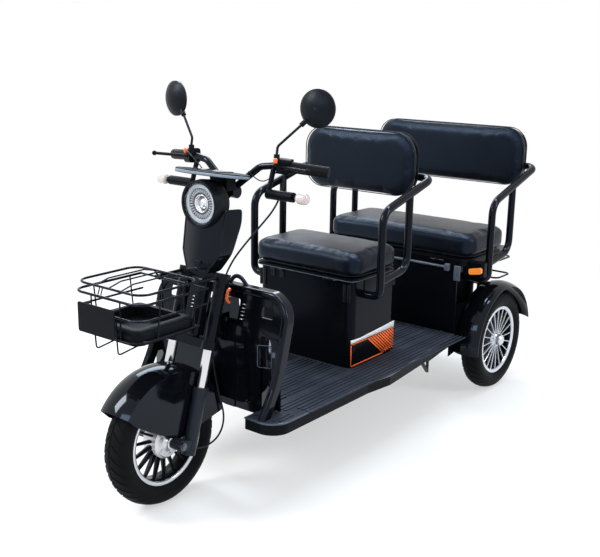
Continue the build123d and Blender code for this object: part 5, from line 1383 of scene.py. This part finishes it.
class TRICYCLE_OT_seat_boxes(bpy.types.Operator):
    """Put the striped panel, latches, brackets, trim and piping line on the seat boxes"""
    bl_idname = "tricycle.seat_boxes"
    bl_label = "Seat Box Trim"

    def execute(self, context):
        low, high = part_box("front_seat_box")
        front, rear, foot = low.y + 0.002, high.y - 0.004, low.z
        whites, oranges = [], []
        for side in (1, -1):
            x, thick = side * high.x, side * print_wall
            top = foot + decal_top
            band = [(y, top + rise) for y, rise in
                    zip((front, rear, rear, front + band_bend, front), band_rises)]
            whites.append(plate("band", band, x, thick, "X"))
            bottom = foot + decal_bottom
            frame_parts = [
                rectangle(front, front + frame_front, bottom, top),
                rectangle(front, rear, bottom, bottom + frame_bottom),
                rectangle(front, front + frame_top_length, top - frame_top, top),
            ]
            lean = (top - bottom) * stripe_slope
            for k in range(stripe_count):
                start = front + stripe_start + stripe_step * k
                stripe = clipped([(start, top), (start + stripe_width, top),
                                  (start + stripe_width + lean, bottom), (start + lean, bottom)], rear)
                if len(stripe) > 2:
                    frame_parts.append(stripe)
            last = front + stripe_start + lean
            frame_parts.append(clipped([(last, bottom), (rear, bottom), (rear, bottom + corner_rise),
                                        (last + corner_lean, bottom + corner_rise)], rear))
            for outline in frame_parts:
                oranges.append(plate("stripe", outline, x, thick, "X"))
        piece("box_white_bands", joined("whites", whites), "white_print", "chassis")
        piece("box_orange_stripes", joined("oranges", oranges), "accent_print", "chassis")
        greys, lines = [], []
        for side in (1, -1):
            x = side * high.x
            for name, depth, start, end, below, above in flank_fittings:
                start += rear if start < 0 else front
                greys.append(flank_box(name, x, side * depth, start, rear - end,
                                       high.z - below, high.z - above))
            for near, far in latch_ribs:
                corner = sorted((side * near, side * far))
                greys.append(soft_box("rib", (corner[0], low.y - 0.004, high.z - rib_bottom),
                                      (corner[1], low.y + 0.001, high.z - rib_top), 0.0018, 2))
        piece("box_fittings", joined("greys", greys), "dark_shell", "chassis")
        pan_low, pan_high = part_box("front_seat_pan")
        middle = (pan_low + pan_high) / 2
        half = (pan_high - pan_low) / 2
        place = Matrix.Translation((middle.x, middle.y, pan_low.z + pan_line_z))
        line = welt("pan_line", half.x + pan_line_proud, half.y + pan_line_proud, pan_line_corner, 0.0,
                    pan_line_radius, place)
        piece("front_pan_line", line, "trim_and_highlight_grey", "front_seat_lid")
        rear_low, rear_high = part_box("rear_seat_box")
        bar_y, bar_z = rear_low.y - rail_front, rear_high.z - rail_drop
        rail = wire("rail", [(-box_rail_x, bar_y, bar_z), (box_rail_x, bar_y, bar_z)], box_rail_radius,
                    sides=16)
        piece("rear_box_rail", rail, "trim_and_highlight_grey", "chassis")
        brackets = []
        for side in (1, -1):
            for name, near, far, depth, below, above in rail_holders:
                ends = sorted((side * near, side * far))
                brackets.append(soft_box(name, (ends[0], rear_low.y - depth, bar_z + below),
                                         (ends[1], rear_low.y + 0.001, bar_z + above),
                                         rail_holder_round, 2))
        piece("rear_box_brackets", joined("brackets", brackets), "trim_and_highlight_grey", "chassis")
        return {"FINISHED"}


# ------------------------------------------------------------------ floor

def top_outline(node):
    """The points round a plate's upper face, in order."""
    shape = bmesh.new()
    shape.from_mesh(node.data)
    bmesh.ops.remove_doubles(shape, verts=shape.verts, dist=1e-5)
    top = max(vertex.co.z for vertex in shape.verts)

    def level(vertices):
        return all(abs(vertex.co.z - top) < 1e-5 for vertex in vertices)

    border = [edge for edge in shape.edges
              if level(edge.verts) and sum(level(face.verts) for face in edge.link_faces) == 1]
    after = {}
    for edge in border:
        for vertex in edge.verts:
            after.setdefault(vertex.index, []).append(edge.other_vert(vertex).index)
    shape.verts.ensure_lookup_table()
    start = border[0].verts[0].index
    loop, before, here = [], None, start
    while True:
        loop.append(shape.verts[here].co.copy())
        onward = [index for index in after[here] if index != before]
        before, here = here, onward[0]
        if here == start:
            break
    shape.free()
    return loop


rib_half_share = 0.3            # half a rib's width as a share of the pitch
rib_rise = 0.0026
rib_root = 0.001
rib_round = 0.0016
group_size = 4                  # ribs in a group, which is as wide as one more
side_group_x = 0.222
# ribs on their own: x, and where each starts behind the floor's front
lone_ribs = ((0.228, 0.03), (0.244, 0.024), (0.297, 0.03), (0.312, 0.042))
bead_radius = 0.0035


class TRICYCLE_OT_floor_mat(bpy.types.Operator):
    """Lay the grouped ribs and the rounded edge bead on the floor"""
    bl_idname = "tricycle.floor_mat"
    bl_label = "Floor Mat"

    def execute(self, context):
        low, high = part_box("floor_deck")
        box_low, box_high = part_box("front_seat_box")
        rear_box_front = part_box("rear_seat_box")[0].y
        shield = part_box("leg_shield_panel")[1].y
        pitch = context.scene.tricycle_sizes.floor_rib_pitch
        half = pitch * rib_half_share
        ribs = []

        def group(first, count, start, end):
            rib = soft_box("rib", (first - half, start, high.z - rib_root),
                           (first + half, end, high.z + rib_rise), rib_round, 2)
            ribs.append(repeated("ribs", rib, count, (pitch, 0, 0)))

        wide = pitch * (group_size + 1)
        for side_group in range(-4, 4):
            first = (side_group + 0.5) * wide - 1.5 * pitch
            inner = min(abs(first), abs(first + 3 * pitch))
            outer = max(abs(first), abs(first + 3 * pitch))
            if outer < box_high.x + 0.01 or inner < box_high.x - 0.02:
                group(first, group_size, shield - 0.02, box_low.y - 0.012)
                group(first, group_size, box_high.y + 0.012, rear_box_front - 0.006)
        for side in (1, -1):
            for first in (side_group_x, side_group_x + 4.2 * pitch):
                start = side * first if side > 0 else -first - 3 * pitch
                begin = shield - 0.02 if first < 0.25 else shield + 0.02
                group(start, group_size, begin, rear_box_front - 0.006)
            for x, behind in lone_ribs:
                group(side * x, 1, low.y + behind, shield - 0.03)
        piece("floor_ribs", joined("floor_ribs", ribs), "floor", "chassis")
        drop = Vector((0, 0, 0.002))
        outline = [point - drop for point in top_outline(frame["nodes"]["floor_deck"])]
        bead = wire("bead", outline, bead_radius, closed=True, sides=12)
        piece("floor_edge", bead, "edge", "chassis")
        return {"FINISHED"}


# ------------------------------------------------------------------ stage

def look(scene_stage):
    """The camera's axes from its turn, dip and roll."""
    turn, dip, roll = scene_stage.camera_turn, scene_stage.camera_dip, scene_stage.camera_roll
    ahead = Vector((-math.sin(turn) * math.cos(dip), math.cos(turn) * math.cos(dip), -math.sin(dip)))
    right = Vector((math.cos(turn), math.sin(turn), 0))
    up = right.cross(ahead)
    level_right = right * math.cos(roll) + up * math.sin(roll)
    level_up = up * math.cos(roll) - right * math.sin(roll)
    return level_right, level_up, ahead


def area_light(name, place, target, size_x, size_y, power, colour):
    """A soft rectangular light that faces a target."""
    data = bpy.data.lights.new(name, "AREA")
    data.shape = "RECTANGLE"
    data.size = size_x
    data.size_y = size_y
    data.energy = power
    data.color = colour
    lamp = bpy.data.objects.new(name, data)
    bpy.context.scene.collection.objects.link(lamp)
    lamp.location = place
    lamp.rotation_euler = (Vector(target) - Vector(place)).to_track_quat("-Z", "Y").to_euler()


def seen_directly(tree):
    """1 where a ray comes from the camera, a mirror surface or clear glass, and 0 for other light."""
    rays = add_node(tree, "ShaderNodeLightPath").outputs
    mirrored = maths(tree, "MAXIMUM", rays["Is Camera Ray"], rays["Is Glossy Ray"])
    return maths(tree, "MAXIMUM", mirrored, rays["Is Transmission Ray"])


def ground_finish():
    """A pale floor that keeps the shadow near the vehicle and turns white far from it."""
    made, tree, shader, place = blank_material("pale_floor")
    cloud = noise(tree, place, 1.5, 3.0)
    fill(tree, shader, {
        "Base Color": mix_colours(tree, cloud, (0.8, 0.8, 0.8), (0.83, 0.83, 0.83)),
        "Roughness": 0.9,
        "Specular IOR Level": 0.0,
    })
    glow = add_node(tree, "ShaderNodeEmission", {"Strength": 1.0})
    reach = add_node(tree, "ShaderNodeVectorMath", {0: place}, operation="LENGTH").outputs["Value"]
    share = maths(tree, "MULTIPLY", seen_directly(tree), spread(tree, reach, 1.2, 3.0, 0.5, 1.0))
    mix = add_node(tree, "ShaderNodeMixShader", {0: share, 1: shader.outputs[0], 2: glow.outputs[0]})
    fill(tree, tree.nodes["Material Output"], {"Surface": mix.outputs[0]})
    return made


studio_lights = (               # name, place, target, width, length, share of the key's power, colour
    ("key", (-2.4, -3.0, 3.6), (0, 0, 0.5), 1.3, 1.6, 1.0, (1.0, 0.99, 0.97)),
    ("top", (0.1, 0.7, 4.2), (0, 0, 0.4), 2.6, 0.6, 0.75, (0.8, 0.9, 1.0)),
    ("side", (3.8, 1.2, 2.6), (0, 0, 0.4), 0.6, 1.8, 0.4, (0.86, 0.93, 1.0)),
    ("front", (0.6, -4.4, 3.2), (0, 0, 0.5), 2.8, 1.0, 0.4, (0.74, 0.86, 1.0)),
    ("rear", (-2.6, 1.7, 3.0), (0, -0.3, 0.5), 3.0, 1.2, 0.55, (0.74, 0.86, 1.0)),
)
ground_half = 60


class TRICYCLE_OT_stage(bpy.types.Operator):
    """Set the camera, the pale floor and the soft studio light"""
    bl_idname = "tricycle.stage"
    bl_label = "Stage"

    def execute(self, context):
        scene = context.scene
        stage = scene.tricycle_stage
        right, up, ahead = look(stage)
        camera_data = bpy.data.cameras.new("camera")
        camera_data.lens = stage.focal_length
        camera_data.sensor_width = 36
        camera_data.clip_end = 100
        camera = bpy.data.objects.new("camera", camera_data)
        scene.collection.objects.link(camera)
        turn = Matrix((right, up, -ahead)).transposed().to_4x4()
        camera.matrix_world = Matrix.Translation(Vector(stage.camera_place)) @ turn
        scene.camera = camera

        ground = bpy.data.meshes.new("ground")
        corners = [(x * ground_half, y * ground_half, 0) for x, y in ((-1, -1), (1, -1), (1, 1), (-1, 1))]
        ground.from_pydata(corners, [], [(0, 1, 2, 3)])
        ground_object = bpy.data.objects.new("ground", ground)
        scene.collection.objects.link(ground_object)
        ground.materials.append(ground_finish())

        for name, place, target, width, length, share, colour in studio_lights:
            area_light(name, place, target, width, length, stage.key_power * share, colour)

        world = bpy.data.worlds.new("studio")
        scene.world = world
        world.use_nodes = True
        tree = world.node_tree
        strength = spread(tree, seen_directly(tree), 0.0, 1.0, stage.sky_strength, 1.0)
        fill(tree, tree.nodes["Background"], {"Color": (1, 1, 1), "Strength": strength})
        scene.view_settings.view_transform = "Standard"
        return {"FINISHED"}


class TRICYCLE_PT_panel(bpy.types.Panel):
    """Lists the makers of the tricycle's finishes"""
    bl_label = "Tricycle"
    bl_idname = "TRICYCLE_PT_panel"
    bl_space_type = "VIEW_3D"
    bl_region_type = "UI"
    bl_category = "Tricycle"

    def draw(self, context):
        for kind in operators:
            self.layout.operator(kind.bl_idname)
        for holder in groups:
            group = getattr(context.scene, holder)
            for name in group.__annotations__:
                self.layout.prop(group, name)


operators = (
    TRICYCLE_OT_stage,
    TRICYCLE_OT_finishes,
    TRICYCLE_OT_tyres,
    TRICYCLE_OT_wheels,
    TRICYCLE_OT_cushions,
    TRICYCLE_OT_headlamp,
    TRICYCLE_OT_fairing,
    TRICYCLE_OT_cockpit,
    TRICYCLE_OT_leg_shield,
    TRICYCLE_OT_seat_boxes,
    TRICYCLE_OT_floor_mat,
)
groups = {
    "tricycle_colours": TricycleColours,
    "tricycle_sizes": TricycleSizes,
    "tricycle_stage": TricycleStage,
}


def register():
    """Registers the settings, the operators and the panel."""
    for kind in (*groups.values(), *operators, TRICYCLE_PT_panel):
        bpy.utils.register_class(kind)
    for name, kind in groups.items():
        setattr(bpy.types.Scene, name, PointerProperty(type=kind))


def unregister():
    """Removes what register added."""
    for name in groups:
        delattr(bpy.types.Scene, name)
    for kind in (TRICYCLE_PT_panel, *operators, *groups.values()):
        bpy.utils.unregister_class(kind)


def main():
    """Makes every piece in order."""
    register()
    for kind in operators:
        family, action = kind.bl_idname.split(".")
        getattr(getattr(bpy.ops, family), action)()


if __name__ == "__main__":
    main()
